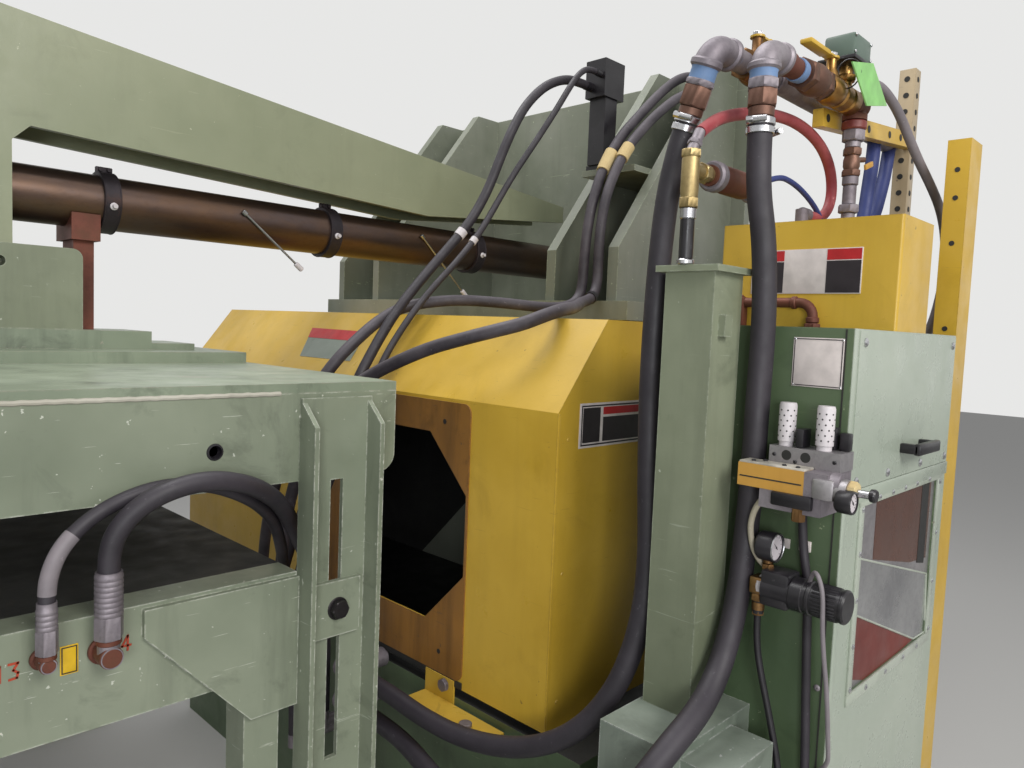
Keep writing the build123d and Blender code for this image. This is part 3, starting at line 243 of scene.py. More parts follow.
def enamel(name, base, low, worn, gloss=0.38, wear=0.5, grime=0.35, dust=0.3):
    """Old machine enamel: cloudy colour, drips, worn edges, chips, scratches and dust on top."""
    p = Paint(name)
    base, low, worn = srgb(base, low, worn)
    colour = p.mix(p.ramp(p.noise(1.6, 5.0, 0.6), 0.35, 0.68), base, low)
    dark = shade(low, 0.42)
    drips = p.noise(1.0, 6.0, 0.65, p.stretch((9.0, 9.0, 0.9)))
    colour = p.mix(p.ramp(drips, 0.52, 0.78, 0.0, grime), colour, dark)
    stains = p.noise(7.0, 8.0, 0.7, warp=0.6)
    colour = p.mix(p.ramp(stains, 0.56, 0.72, 0.0, grime * 0.9), colour, dark)
    settled = p.maths("MULTIPLY", p.facing_up(), p.ramp(p.noise(5.0, 6.0), 0.35, 0.7, 0.0, dust))
    colour = p.mix(settled, colour, shade(base, 1.35, 0.05))
    ragged = p.noise(38.0, 6.0, 0.75, p.stretch((1.0, 1.0, 1.6)), warp=0.4)
    rim = p.maths("MULTIPLY", p.edges(0.006), p.ramp(ragged, 0.42, 0.60))
    chips = p.ramp(p.noise(55.0, 3.0, 0.6), 0.745 - 0.05 * wear, 0.76 - 0.05 * wear)
    lines = p.noise(5.0, 4.0, 0.5, p.stretch((1.5, 1.5, 26.0)), warp=1.2)
    scratches = p.ramp(lines, 0.70, 0.715, 0.0, wear * 0.6)
    bare = p.maths("MAXIMUM", p.maths("MULTIPLY", rim, wear * 1.5), p.maths("MULTIPLY", chips, 0.8))
    colour = p.mix(p.maths("MAXIMUM", bare, scratches), colour, worn)
    rough = p.ramp(p.noise(14.0, 5.0), 0.3, 0.7, gloss - 0.07, gloss + 0.16)
    skin = p.maths("ADD", p.noise(120.0, 3.0), p.maths("MULTIPLY", p.noise(9.0, 3.0), 2.5))
    return p.finish(colour, rough, skin, 0.16, 0.0012)


RUST = (0.10, 0.035, 0.015)


def metal(name, base, low, rough=0.35, shine=1.0, rust=0.0, streaks=(1, 1, 1)):
    """Bare metal with cloudy tarnish and optional rust."""
    p = Paint(name)
    base, low = srgb(base, low)
    clouds = p.noise(6.0, 7.0, 0.65, p.stretch(streaks))
    colour = p.mix(p.ramp(clouds, 0.35, 0.66), base, low)
    fine = p.noise(90.0, 4.0, 0.7, p.stretch(streaks))
    colour = p.mix(p.ramp(fine, 0.5, 0.75, 0.0, 0.35), colour, shade(low, 0.5))
    spread = p.noise(11.0, 8.0, 0.72)
    patches = p.ramp(spread, 0.62 - 0.3 * rust, 0.72 - 0.2 * rust, 0.0, min(1.0, rust * 1.6))
    colour = p.mix(patches, colour, RUST)
    return p.finish(colour, p.ramp(clouds, 0.3, 0.7, rough, rough + 0.2), fine, 0.18, 0.0008,
                    p.ramp(patches, 0.0, 1.0, shine, 0.15))


def rubber(name, base, dusty, gloss=0.55, dust=0.5):
    """Rubber or plastic with dust on top and scuffs."""
    p = Paint(name)
    base, dusty = srgb(base, dusty)
    colour = p.mix(p.ramp(p.noise(7.0, 6.0, 0.65), 0.4, 0.7, 0.0, 0.7), base, dusty)
    colour = p.mix(p.maths("MULTIPLY", p.facing_up(0.2, 0.9), dust), colour, dusty)
    colour = p.mix(p.ramp(p.noise(60.0, 4.0, 0.7), 0.66, 0.72, 0.0, 0.5), colour, shade(dusty, 1.8, 0.05))
    rough = p.ramp(p.noise(20.0, 4.0), 0.3, 0.7, gloss - 0.05, gloss + 0.12)
    return p.finish(colour, rough, p.noise(160.0, 2.0), 0.12, 0.0006)


def flat(name, base, rough=0.5, mottle=0.12):
    """Printed or plastic face with slight mottling."""
    p = Paint(name)
    base, = srgb(base)
    colour = p.mix(p.ramp(p.noise(25.0, 5.0), 0.35, 0.7, 0.0, 1.0), base, shade(base, 1 - mottle * 2))
    dull = p.ramp(p.noise(30.0, 3.0), 0.3, 0.7, rough - 0.05, rough + 0.1)
    return p.finish(colour, dull, p.noise(200.0, 2.0), 0.05, 0.0004)


MATERIALS = {
    "green": enamel("green_paint", (130, 136, 114), (100, 107, 86), (176, 182, 166)),
    "frame": enamel("frame_paint", (134, 141, 122), (108, 116, 98), (196, 198, 186), wear=1.0, grime=0.55),
    "deck": enamel("deck_green", (136, 146, 126), (104, 114, 96), (150, 146, 132), wear=0.8, grime=0.7,
                   dust=0.5),
    "wall": enamel("wall_paint", (128, 131, 118), (100, 106, 90), (176, 186, 158), wear=0.7),
    "arm": enamel("arm_paint", (146, 150, 124), (130, 136, 110), (180, 180, 156), wear=0.3, grime=0.2),
    "cabinet": enamel("cabinet_paint", (88, 104, 76), (70, 88, 62), (140, 148, 118), wear=0.4, grime=0.4),
    "door": enamel("pale_green", (166, 174, 160), (150, 160, 146), (180, 188, 172), gloss=0.26, wear=0.2,
                   grime=0.12),
    "yellow": enamel("guard_yellow", (205, 168, 62), (182, 146, 44), (120, 96, 50), gloss=0.34, wear=0.4,
                     grime=0.18, dust=0.5),
    "brown": enamel("brown_panel", (150, 104, 42), (104, 74, 42), (80, 66, 54), wear=0.6, grime=0.75),
    # Black of painted shade, for holes, gaps, grooves, the lower deck and the guard's inside, where shade
    # falls
    "painted_shade": enamel("dark_paint", (34, 34, 32), (22, 22, 22), (60, 54, 46), gloss=0.6, wear=0.3),
    "barrel": metal("heat_steel", (92, 80, 78), (108, 84, 66), rough=0.26, shine=0.9,
                    streaks=(0.5, 2.0, 1.0)),
    "band": metal("dark_band", (66, 58, 62), (44, 40, 44), rough=0.42, shine=0.6, rust=0.2),
    "zinc": metal("zinc", (150, 143, 148), (106, 99, 106), rough=0.46, shine=0.6),
    "steel": metal("bright_steel", (196, 196, 196), (150, 150, 150), rough=0.22),
    "brass": metal("brass", (150, 118, 78), (110, 80, 52), rough=0.3, shine=0.95),
    "pale_brass": metal("pale_brass", (186, 166, 120), (140, 122, 84), rough=0.34, shine=0.9),
    "gold": metal("gold_brass", (184, 144, 84), (134, 98, 56), rough=0.24, shine=0.95),
    "dark_steel": metal("dark_steel", (66, 62, 64), (44, 42, 44), rough=0.36, shine=0.8),
    "pale_frame": enamel("pale_frame", (176, 182, 170), (156, 164, 150), (120, 118, 104), gloss=0.3,
                         wear=0.4),
    "window_brown": enamel("window_brown", (92, 50, 32), (66, 38, 28), (130, 90, 60), gloss=0.2, wear=0.2),
    "speckled": flat("speckled_top", (196, 190, 178), 0.5, mottle=0.3),
    "bronze": metal("bronze", (128, 98, 84), (96, 70, 60), rough=0.4, shine=0.8),
    "red_brown": enamel("red_brown", (120, 50, 45), (92, 40, 36), (130, 90, 80), wear=0.4),
    "rusty": metal("rusty_steel", (116, 66, 52), (84, 48, 40), rough=0.5, shine=0.45, rust=0.5),
    "aluminium": metal("aluminium", (186, 182, 184), (138, 134, 138), rough=0.34, shine=0.9),
    "chrome": metal("chrome", (214, 214, 216), (170, 170, 174), rough=0.14),
    "hose": rubber("black_rubber", (33, 29, 35), (56, 51, 58)),
    "guard_hose": rubber("dusty_rubber", (40, 35, 42), (86, 80, 86), dust=0.8),
    "grey_hose": rubber("grey_rubber", (108, 102, 106), (138, 130, 134)),
    "red_hose": rubber("red_rubber", (142, 50, 58), (170, 98, 98)),
    "navy_hose": rubber("navy_rubber", (32, 44, 100), (52, 64, 118)),
    "beige_hose": rubber("beige_rubber", (160, 152, 132), (180, 172, 158)),
    "black": rubber("black_plastic", (22, 20, 24), (42, 39, 44), gloss=0.32),
    "white": rubber("white_plastic", (206, 200, 202), (168, 162, 165), gloss=0.45, dust=0.2),
    "cream": rubber("cream_cloth", (206, 186, 138), (176, 150, 100), gloss=0.75),
    "plinth": enamel("plinth_paint", (126, 134, 124), (98, 108, 96), (180, 182, 178), wear=0.8, grime=0.6,
                     dust=0.6),
    "beige": enamel("beige_paint", (172, 154, 124), (148, 132, 106), (110, 96, 80), wear=0.4),
    "actuator": enamel("actuator_green", (92, 108, 98), (78, 94, 84), (120, 130, 116), wear=0.3),
    "caulk": enamel("caulk", (186, 182, 170), (150, 146, 132), (120, 112, 96), gloss=0.6, wear=0.4),
    "tape": flat("blue_tape", (108, 136, 176), 0.5),
    "tag": flat("green_tag", (140, 200, 118), 0.45),
    "label": flat("label_white", (214, 204, 200), 0.42),
    "label_red": flat("label_red", (186, 40, 44), 0.4),
    "label_black": flat("label_black", (44, 38, 42), 0.4),
    "sticker": flat("sticker_yellow", (220, 178, 24), 0.4),
    "red_ink": flat("red_ink", (170, 62, 34), 0.6),
    "dial": flat("gauge_dial", (214, 206, 210), 0.3),
    "inner_red": enamel("red_paint", (112, 38, 28), (84, 30, 24), (90, 60, 50)),
    "orange": enamel("valve_yellow", (196, 148, 66), (168, 124, 54), (140, 110, 60), gloss=0.4, wear=0.3,
                     grime=0.2),
}

# Each finish with the CAD nodes that wear it
FINISH_NODES = {
    "deck": "deck_plate deck_slabs",
    # The lower deck is black: painted shade for the cavity under the deck
    "painted_shade": "lower_deck",
    "frame": "upper_beams lower_beams slotted_posts slot_clamps frame_legs",
    "green": "arm_pads gearbox clamp_bed service_column",
    "rusty": "barrel_saddle",
    "barrel": "extruder_barrel die_head",
    "band": "barrel_bands",
    "arm": "overhead_arm",
    "plinth": "drive_motor clamp_platens column_plinth",
    "steel": "feed_hopper tie_bars",
    "wall": "head_wall wall_ribs wall_pedestal",
    "cabinet": "base_housing service_cabinet",
    "yellow": "guard_hood guard_bracket yellow_box yellow_end_post left_valve_lever right_valve_lever",
    "brown": "guard_face_panel",
    "black": "valve_stack door_handle air_regulator",
    "door": "cabinet_door",
    "aluminium": "cabinet_window air_manifold",
    "zinc": "hose_fittings shutoff_valve",
    "orange": "slide_valve",
}
FINISHES = {name: group for group, names in FINISH_NODES.items() for name in names.split()}


def inside(point, low, high):
    """Whether a point lies in a box."""
    return all(a < value < b for value, a, b in zip(point, low, high))


def soften(mesh):
    """Smooth shading with sharp edges where faces meet steeply."""
    mesh.polygons.foreach_set("use_smooth", [True] * len(mesh.polygons))
    mesh.set_sharp_from_angle(angle=SMOOTH_BELOW)


def dress_nodes():
    """Gives CAD nodes their finishes, with black painted shade inside the guard and pale green on the
    cabinet's front.
    """
    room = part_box("guard_hood")
    low = room[0] + Vector((0.003, 0.003, -0.1))
    high = room[1] - Vector((-0.01, 0.003, 0.003))
    middle = (room[0] + room[1]) / 2
    front = -1.35
    for name, node in NODES.items():
        if name not in FINISHES:
            continue
        mesh = node.data
        mesh.materials.clear()
        for finish in (FINISHES[name], "painted_shade", "door"):
            mesh.materials.append(MATERIALS[finish])
        for face in mesh.polygons:
            # Faces inside the guard's hood take the second slot: black painted shade under the hood
            inward = name != "guard_hood" or face.normal.dot(middle - face.center) > 0
            face.material_index = int(inward and inside(face.center, low, high))
            if name == "service_cabinet" and face.normal.y < -0.9 and face.center.y < front:
                face.material_index = 2
        soften(mesh)


# Cords: diameter, finish and the points of the route, which a smooth curve follows
CORDS = {
    "left_water_hose": (46, "hose", [
        (55, -1049.4, 2007.6), (55, -1020.1, 1922.5), (51, -1006, 1770), (50, -1000, 1530),
        (50, -1008, 1310), (44, -1026, 1130), (26, -1020, 985), (-6, -985, 858), (-32, -905, 752),
        (-52, -780, 680), (-66, -620, 642), (-73, -470, 640), (-70, -330, 650), (-70, -190, 650)]),
    "right_water_hose": (46, "hose", [
        (96, -1180, 1985), (96, -1180, 1890), (107, -1197, 1780), (114, -1203, 1640), (115, -1200, 1490),
        (114, -1199, 1340), (109, -1196, 1215), (94, -1195, 1100), (54, -1196, 1007), (-6, -1203, 952),
        (-74, -1211, 928), (-140, -1206, 898), (-196, -1190, 848), (-232, -1148, 770), (-240, -1080, 690),
        (-228, -970, 625), (-195, -840, 580), (-152, -690, 556), (-110, -552, 550), (-78, -420, 553),
        (-70, -300, 556), (-70, -190, 556)]),
    "port_14_hose": (36, "hose", [
        (-804, -515, 1163), (-804, -515, 1193), (-796, -521, 1227), (-776, -529, 1258), (-745, -537, 1283),
        (-703, -542, 1299), (-654, -542, 1305), (-602, -534, 1298), (-548, -521, 1279), (-498, -497, 1249),
        (-452, -456, 1214), (-405, -412, 1164), (-345, -358, 1090), (-275, -300, 1005), (-212, -226, 915),
        (-156, -148, 826), (-106, -78, 730), (-66, -20, 634), (-42, 18, 540), (-42, 18, 460)]),
    "port_13_hose": (26, "hose", [
        (-897, -515, 1131), (-897, -515, 1157), (-889, -514, 1189), (-874, -511, 1217), (-848, -507, 1243),
        (-812, -503, 1266), (-768, -501, 1284), (-720, -500, 1294), (-670, -499, 1294), (-620, -499, 1285),
        (-574, -496, 1266), (-528, -476, 1240), (-484, -446, 1208), (-438, -402, 1166), (-390, -342, 1100),
        (-336, -264, 1005), (-284, -180, 908), (-234, -96, 814), (-184, -18, 720), (-138, 46, 622),
        (-104, 88, 524), (-92, 100, 440), (-92, 100, 370)]),
    "upper_guard_hose": (34, "guard_hose", [
        (1415, -262, 2570), (1322, -262, 2570), (1222, -262, 2538), (1108, -262, 2458), (993, -262, 2357),
        (880, -262, 2254), (800, -262, 2140), (754, -262, 2030), (732, -262, 1927), (724, -262, 1832),
        (722, -262, 1756), (712, -261, 1712), (678, -260, 1684), (620, -257, 1671), (540, -244, 1668),
        (440, -190, 1676), (332, -112, 1680), (240, -62, 1668), (165, -29, 1648), (95, -12, 1606),
        (31, -4, 1552), (-28, 4, 1496), (-72, 22, 1430), (-98, 62, 1350), (-108, 118, 1258),
        (-106, 180, 1160), (-98, 240, 1055), (-86, 294, 945), (-72, 336, 830), (-62, 362, 715),
        (-60, 370, 610), (-60, 370, 520)]),
    "lower_guard_hose": (34, "guard_hose", [
        (1415, -305, 2500), (1330, -305, 2500), (1240, -305, 2482), (1148, -305, 2440), (1068, -305, 2386),
        (975, -305, 2314), (872, -305, 2218), (806, -305, 2122), (764, -305, 2030), (746, -305, 1928),
        (744, -305, 1838), (744, -306, 1770), (727, -312, 1726), (690, -322, 1702), (632, -342, 1691),
        (564, -386, 1684), (490, -440, 1674), (400, -502, 1665), (310, -562, 1657), (225, -610, 1652),
        (150, -618, 1634), (92, -598, 1610), (42, -548, 1590), (4, -482, 1568), (-24, -416, 1547),
        (-42, -356, 1524), (-58, -290, 1496), (-72, -220, 1464), (-86, -146, 1420), (-98, -70, 1362),
        (-106, -4, 1290), (-110, 50, 1205), (-111, 96, 1110), (-110, 132, 1010), (-108, 156, 905),
        (-106, 168, 800), (-104, 172, 700), (-104, 172, 610)]),
    "arch_hose": (30, "hose", [
        (826, -148, 2436), (784, -148, 2436), (735, -148, 2431), (684, -147, 2414), (632, -145, 2386),
        (584, -143, 2346), (538, -140, 2294), (500, -138, 2232), (473, -130, 2168), (450, -122, 2104),
        (428, -114, 2040), (400, -106, 1980), (368, -98, 1925), (330, -88, 1874), (284, -78, 1820),
        (236, -70, 1766), (192, -65, 1716), (153, -62, 1672), (112, -61, 1622), (73, -62, 1568),
        (36, -64, 1512), (0, -66, 1454), (-22, -52, 1390), (-32, -18, 1322), (-34, 30, 1246),
        (-34, 82, 1165), (-34, 136, 1080), (-34, 187, 990), (-36, 232, 896), (-40, 268, 797),
        (-44, 290, 700), (-46, 296, 610), (-46, 296, 540)]),
    "thin_arch_hose": (20, "hose", [
        (826, -190, 2472), (796, -190, 2472), (762, -191, 2460), (726, -191, 2428), (692, -188, 2380),
        (652, -182, 2316), (604, -172, 2242), (556, -160, 2168), (506, -148, 2094), (461, -139, 2020),
        (421, -134, 1954), (378, -134, 1892), (328, -130, 1832), (276, -123, 1774), (224, -114, 1720),
        (176, -108, 1666), (134, -104, 1614), (94, -102, 1560), (56, -102, 1504), (24, -102, 1440),
        (-2, -84, 1374), (-16, -60, 1308), (-22, -24, 1236), (-24, 20, 1158), (-26, 69, 1076),
        (-28, 118, 988), (-31, 164, 894), (-35, 202, 794), (-40, 230, 698), (-44, 240, 606),
        (-44, 240, 536)]),
    "red_hose": (24, "red_hose", [
        (18, -1102, 1974), (54, -1103, 1999), (98, -1104, 2019), (160, -1106, 2038), (232, -1109, 2054),
        (310, -1112, 2065), (388, -1114, 2067), (466, -1115, 2057), (530, -1116, 2034), (577, -1116, 1994),
        (590, -1116, 1942), (567, -1116, 1898), (520, -1114, 1880), (466, -1114, 1880)]),
    "regulator_hose": (13, "black", [
        (96, -1236, 1087), (96, -1236, 1058), (97, -1240, 1012), (98, -1251, 966), (99, -1264, 920),
        (99, -1278, 870), (99, -1292, 815), (98, -1302, 752), (97, -1306, 684), (97, -1306, 610),
        (97, -1304, 540), (97, -1303, 484), (97, -1303, 430)]),
    "grey_drop_hose": (22, "grey_hose", [
        (770, -1220, 1515), (815, -1220, 1520), (860, -1235, 1555), (880, -1270, 1640), (890, -1285, 1739),
        (915, -1280, 1811), (932, -1270, 1884), (910, -1260, 1947), (850, -1250, 1998), (780, -1240, 2045),
        (729, -1230, 2093), (690, -1220, 2136), (656, -1210, 2165), (618, -1200, 2184), (585, -1192, 2186),
        (558, -1188, 2180)]),
    "first_navy_hose": (34, "navy_hose", [
        (848, -1110, 2125), (836, -1113, 2070), (818, -1115, 2010), (800, -1115, 1920), (775, -1110, 1820),
        (745, -1100, 1720), (735, -1095, 1610)]),
    "second_navy_hose": (34, "navy_hose", [
        (990, -1098, 2135), (970, -1100, 2065), (947, -1100, 2010), (920, -1095, 1930), (850, -1070, 1830),
        (760, -1030, 1750), (700, -1010, 1690), (690, -1005, 1610)]),
    "valve_hose": (16, "hose", [
        (136, -1285, 1375), (137, -1290, 1290), (137, -1296, 1220), (137, -1311, 1142), (137, -1314, 1060),
        (137, -1320, 950), (137, -1328, 810), (137, -1330, 720), (142, -1320, 670), (160, -1290, 650)]),
    "beige_loop": (11, "beige_hose", [
        (70, -1290, 1340), (70, -1269, 1328), (70, -1252, 1317), (70, -1236, 1299), (72, -1225, 1274),
        (76, -1220, 1245), (92, -1222, 1200), (110, -1240, 1170), (125, -1270, 1150)]),
    "grey_cable": (8, "grey_hose", [
        (150, -1340, 800), (110, -1380, 840), (80, -1388, 900), (62, -1386, 1000), (58, -1378, 1060),
        (58, -1372, 1111), (62, -1368, 1170), (72, -1350, 1200), (88, -1335, 1185), (94, -1330, 1168)]),
    "dark_blue_hose": (12, "navy_hose", [
        (240, -1116, 1915), (300, -1120, 1940), (370, -1120, 1938), (440, -1120, 1922), (500, -1120, 1898),
        (535, -1120, 1872), (545, -1120, 1850)]),
}


def metres(route):
    """Route's points in metres."""
    return [tuple(value / MM for value in place) for place in route]


def add_cord(name, diameter, finish, points):
    """Round hose as a NURBS curve with the route's points as its control points, all in metres."""
    curve = bpy.data.curves.new(name, "CURVE")
    curve.dimensions = "3D"
    curve.bevel_depth = diameter / 2
    curve.bevel_resolution = 5
    curve.resolution_u = 8
    curve.use_fill_caps = True
    spline = curve.splines.new("NURBS")
    spline.points.add(len(points) - 1)
    for target, place in zip(spline.points, points):
        target.co = (*place, 1)
    spline.order_u = 3
    spline.use_endpoint_u = True
    curve.materials.append(MATERIALS[finish])
    cord = bpy.data.objects.new(name + "_shown" if name in NODES else name, curve)
    bpy.context.scene.collection.objects.link(cord)
    return cord


def centreline(points):
    """Places in metres along the smooth curve of a route's points, read from a curve with no bevel."""
    cord = add_cord("measured", 0, "hose", points)
    depsgraph = bpy.context.evaluated_depsgraph_get()
    mesh = bpy.data.meshes.new_from_object(cord.evaluated_get(depsgraph))
    line = [vertex.co.copy() for vertex in mesh.vertices]
    bpy.data.objects.remove(cord)
    bpy.data.meshes.remove(mesh)
    return line


def lay_cord(name, thickness, finish, route):
    """Adds a cord and makes it ride the machine; its length along the curve is worked out but not used."""
    points = metres(route)
    diameter = thickness / MM
    line = centreline(points)
    length = sum((b - a).length for a, b in zip(line, line[1:]))
    cord = add_cord(name, diameter, finish, points)
    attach(cord, MACHINE)
    if name in NODES:
        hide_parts(name)
    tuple(points[0])


# Shapes built in mesh code

def angles(count, sweep=2 * math.pi, closed=False):
    """Even angles over a sweep, with its end when closed."""
    return [sweep * i / count for i in range(count + closed)]


def circle(middle, radius, u, v, steps):
    """Points of a circle in the plane of two directions."""
    return [middle + radius * (math.cos(a) * u + math.sin(a) * v) for a in angles(steps)]


def facing_service(angle):
    """Direction at an angle in the upright plane that faces the service side."""
    return Vector((math.cos(angle), 0, math.sin(angle)))


class Shape:
    """Collects turned, hexagonal and boxed forms into one mesh."""

    def __init__(self):
        self.mesh = bmesh.new()

    def loops(self, rings):
        """Skins rings of points, closing a ring of one point to a tip."""
        rows = [[self.mesh.verts.new(place) for place in ring] for ring in rings]
        for near, far in zip(rows, rows[1:]):
            count = max(len(near), len(far))
            for i in range(count):
                j = (i + 1) % count
                corners = [near[i % len(near)], near[j % len(near)], far[j % len(far)], far[i % len(far)]]
                unique = list(dict.fromkeys(corners))
                if len(unique) > 2:
                    self.mesh.faces.new(unique)
        for row in (rows[0], rows[-1]):
            if len(row) > 2:
                self.mesh.faces.new(row)
        return self

    def slab(self, corners, lift):
        """Flat plate from its outline and its thickness as a vector."""
        ring = [Vector(corner) for corner in corners]
        return self.loops([ring, [corner + lift for corner in ring]])

    def basis(self, direction):
        turn = Vector(direction).normalized().to_track_quat("Z", "Y")
        return turn @ X, turn @ Y, turn @ Z

    def turned(self, start, direction, profile, steps=32):
        """Form of revolution: profile holds (distance along the axis, radius)."""
        u, v, w = self.basis(direction)
        start = Vector(start)
        rings = []
        for along, radius in profile:
            middle = start + w * along
            rings.append(circle(middle, radius, u, v, steps) if radius else [middle])
        return self.loops(rings)

    def solid(self, start, direction, profile, steps=32):
        """Solid of revolution: a turned form closed at both ends."""
        return self.turned(start, direction, [(profile[0][0], 0), *profile, (profile[-1][0], 0)], steps)

    def disc(self, start, direction, radius, depth=PRINT, steps=16):
        """Flat round spot, such as a hole or a pore."""
        return self.solid(start, direction, [(0, radius), (depth, radius)], steps)

    def collar(self, start, direction, length, radius, soft=2, steps=32):
        """Short round band with softened rims."""
        return self.solid(start, direction, [(0, radius - soft), (soft, radius), (length - soft, radius),
                                             (length, radius - soft)], steps)

    def bar(self, start, end, radius, steps=24, soft=1):
        """Round bar with softened rims between two points."""
        way = Vector(end) - Vector(start)
        return self.collar(start, way, way.length, radius, soft, steps)

    def hexagon(self, start, direction, length, across, spin=0):
        """Hexagon nut or head with chamfered corners."""
        u, v, w = self.basis(direction)
        start = Vector(start)
        flat_radius = across / 2
        unlimited = 1000
        chamfer = 0.048 * across
        levels = [(0, 0), (0, 0.99 * flat_radius), (chamfer, unlimited), (length - chamfer, unlimited),
                  (length, 0.99 * flat_radius), (length, 0)]
        rings = []
        for along, limit in levels:
            middle = start + w * along
            if limit == 0:
                rings.append([middle])
                continue
            ring = []
            for a in angles(24):
                off = (a + math.pi / 6) % (math.pi / 3) - math.pi / 6
                radius = min(flat_radius / math.cos(off), limit)
                ring.append(middle + radius * (math.cos(a + spin) * u + math.sin(a + spin) * v))
            rings.append(ring)
        return self.loops(rings)

    def box(self, low, high, soft=2, turn=None):
        """Block with bevelled edges, optionally turned about its middle."""
        low, high = Vector(low), Vector(high)
        made = bmesh.ops.create_cube(self.mesh, size=1)["verts"]
        for vertex in made:
            vertex.co = Vector([low[i] + (high[i] - low[i]) * (vertex.co[i] + 0.5) for i in range(3)])
        if turn:
            bmesh.ops.rotate(self.mesh, cent=(low + high) / 2, matrix=turn, verts=made)
        if soft:
            edges = list({edge for vertex in made for edge in vertex.link_edges})
            bmesh.ops.bevel(self.mesh, geom=edges, offset=soft, segments=2, affect="EDGES", profile=0.5)
        return self

    def sweep(self, line, radius, steps=16):
        """Round bar along a line of points."""
        rings = []
        side = None
        for i, place in enumerate(line):
            ahead = (line[min(i + 1, len(line) - 1)] - line[max(i - 1, 0)]).normalized()
            if side is None:
                side = ahead.orthogonal().normalized()
            side = (side - ahead * side.dot(ahead)).normalized()
            rings.append(circle(place, radius, side, ahead.cross(side), steps))
        return self.loops(rings)

    def done(self, name, finish, node=None, body=MACHINE):
        """Finishes the mesh as a piece that rides on a body and may stand for a CAD node."""
        bmesh.ops.recalc_face_normals(self.mesh, faces=self.mesh.faces)
        self.mesh.transform(Matrix.Scale(1 / MM, 4))
        mesh = bpy.data.meshes.new(name)
        self.mesh.to_mesh(mesh)
        self.mesh.free()
        mesh.materials.append(MATERIALS[finish])
        soften(mesh)
        piece = bpy.data.objects.new(name, mesh)
        bpy.context.scene.collection.objects.link(piece)
        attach(piece, body)
        if node:
            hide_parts(node)


def blocks(name, finish, soft, *corners, node=None, body=MACHINE):
    """Piece made of blocks, each given by its low and high corner."""
    shape = Shape()
    for low, high in corners:
        shape.box(low, high, soft)
    shape.done(name, finish, node, body)


def screws(name, places, direction, radius, height, finish):
    """Row of like screw heads with sunk middles on one face, as one piece."""
    shape = Shape()
    for place in places:
        shape.solid(place, direction, [(0, radius), (height / 2, radius), (height, radius * 0.6),
                                       (height, radius * 0.3), (height / 2, radius * 0.25)], 16)
    shape.done(name, finish)


def worm_clamp(shape, place, direction, radius, screw_way):
    """Band clamp around a hose, with its screw housing on one side."""
    shape.collar(place, direction, 12, radius + 1.8, soft=0.8, steps=40)
    out = Vector(screw_way).normalized()
    along = direction.cross(out)
    middle = place + direction * 6 + out * (radius + 6)
    shape.disc(middle - along * 16, along, 6, 24)
    shape.hexagon(middle + along * 8, along, 12, 11)


def frame_lines(name, low, high, wide, place, outward):
    """Thin black border of a bare label, laid on its face."""
    shape = Shape()
    (a0, b0), (a1, b1) = low, high
    for (p, q), (r, s) in (((a0, b0), (a1, b0 + wide)), ((a0, b1 - wide), (a1, b1)),
                           ((a0, b0 + wide), (a0 + wide, b1 - wide)),
                           ((a1 - wide, b0 + wide), (a1, b1 - wide))):
        shape.slab([place(*corner) for corner in ((p, q), (r, q), (r, s), (p, s))], outward * PRINT)
    shape.done(name, "label_black")


STROKES = {
    "1": [((0.3, 0.82), (0.5, 1)), ((0.5, 1), (0.5, 0))],
    "3": [((0.1, 1), (0.9, 1)), ((0.9, 1), (0.5, 0.58)), ((0.5, 0.58), (0.9, 0.38)),
          ((0.9, 0.38), (0.8, 0.06)), ((0.8, 0.06), (0.15, 0.02))],
    "4": [((0.65, 0), (0.65, 1)), ((0.65, 1), (0.05, 0.32)), ((0.05, 0.32), (0.95, 0.32))],
}


def digits(text, middle, height):
    """Plain port number, as thin raised strokes that face the service side."""
    shape = Shape()
    out = -Y
    wide = 0.62 * height
    pen = 0.07 * height
    for i, digit in enumerate(text):
        corner = Vector(middle) + X * wide * (1.18 * (i - len(text) / 2)) - Z * height / 2
        for start, end in STROKES[digit]:
            a, b = (corner + X * wide * x + Z * height * z for x, z in (start, end))
            side = (b - a).normalized().cross(out) * pen
            a -= (b - a).normalized() * pen * 0.8
            b += (b - a).normalized() * pen * 0.8
            shape.slab([a - side, b - side, b + side, a + side], out * 2 * PRINT)
    shape.done("number_" + text, "red_ink")


# Water pipework

LEFT_PIPE = Vector((55, -1095, 2140))
RIGHT_PIPE = Vector((96, -1180, 2125))
LEFT_TILT = math.radians(19)
LEFT_DOWN = Vector((0, math.sin(LEFT_TILT), -math.cos(LEFT_TILT)))
ELBOW_BEND = 36
BEAD_R = 30.5
HOSE_R = 23
CUFF_END = 146


def left_at(x):
    """Place on the left pipe's axis."""
    return Vector((x, LEFT_PIPE.y, LEFT_PIPE.z))


def right_at(x):
    """Place on the right pipe's axis."""
    return Vector((x, RIGHT_PIPE.y, RIGHT_PIPE.z))


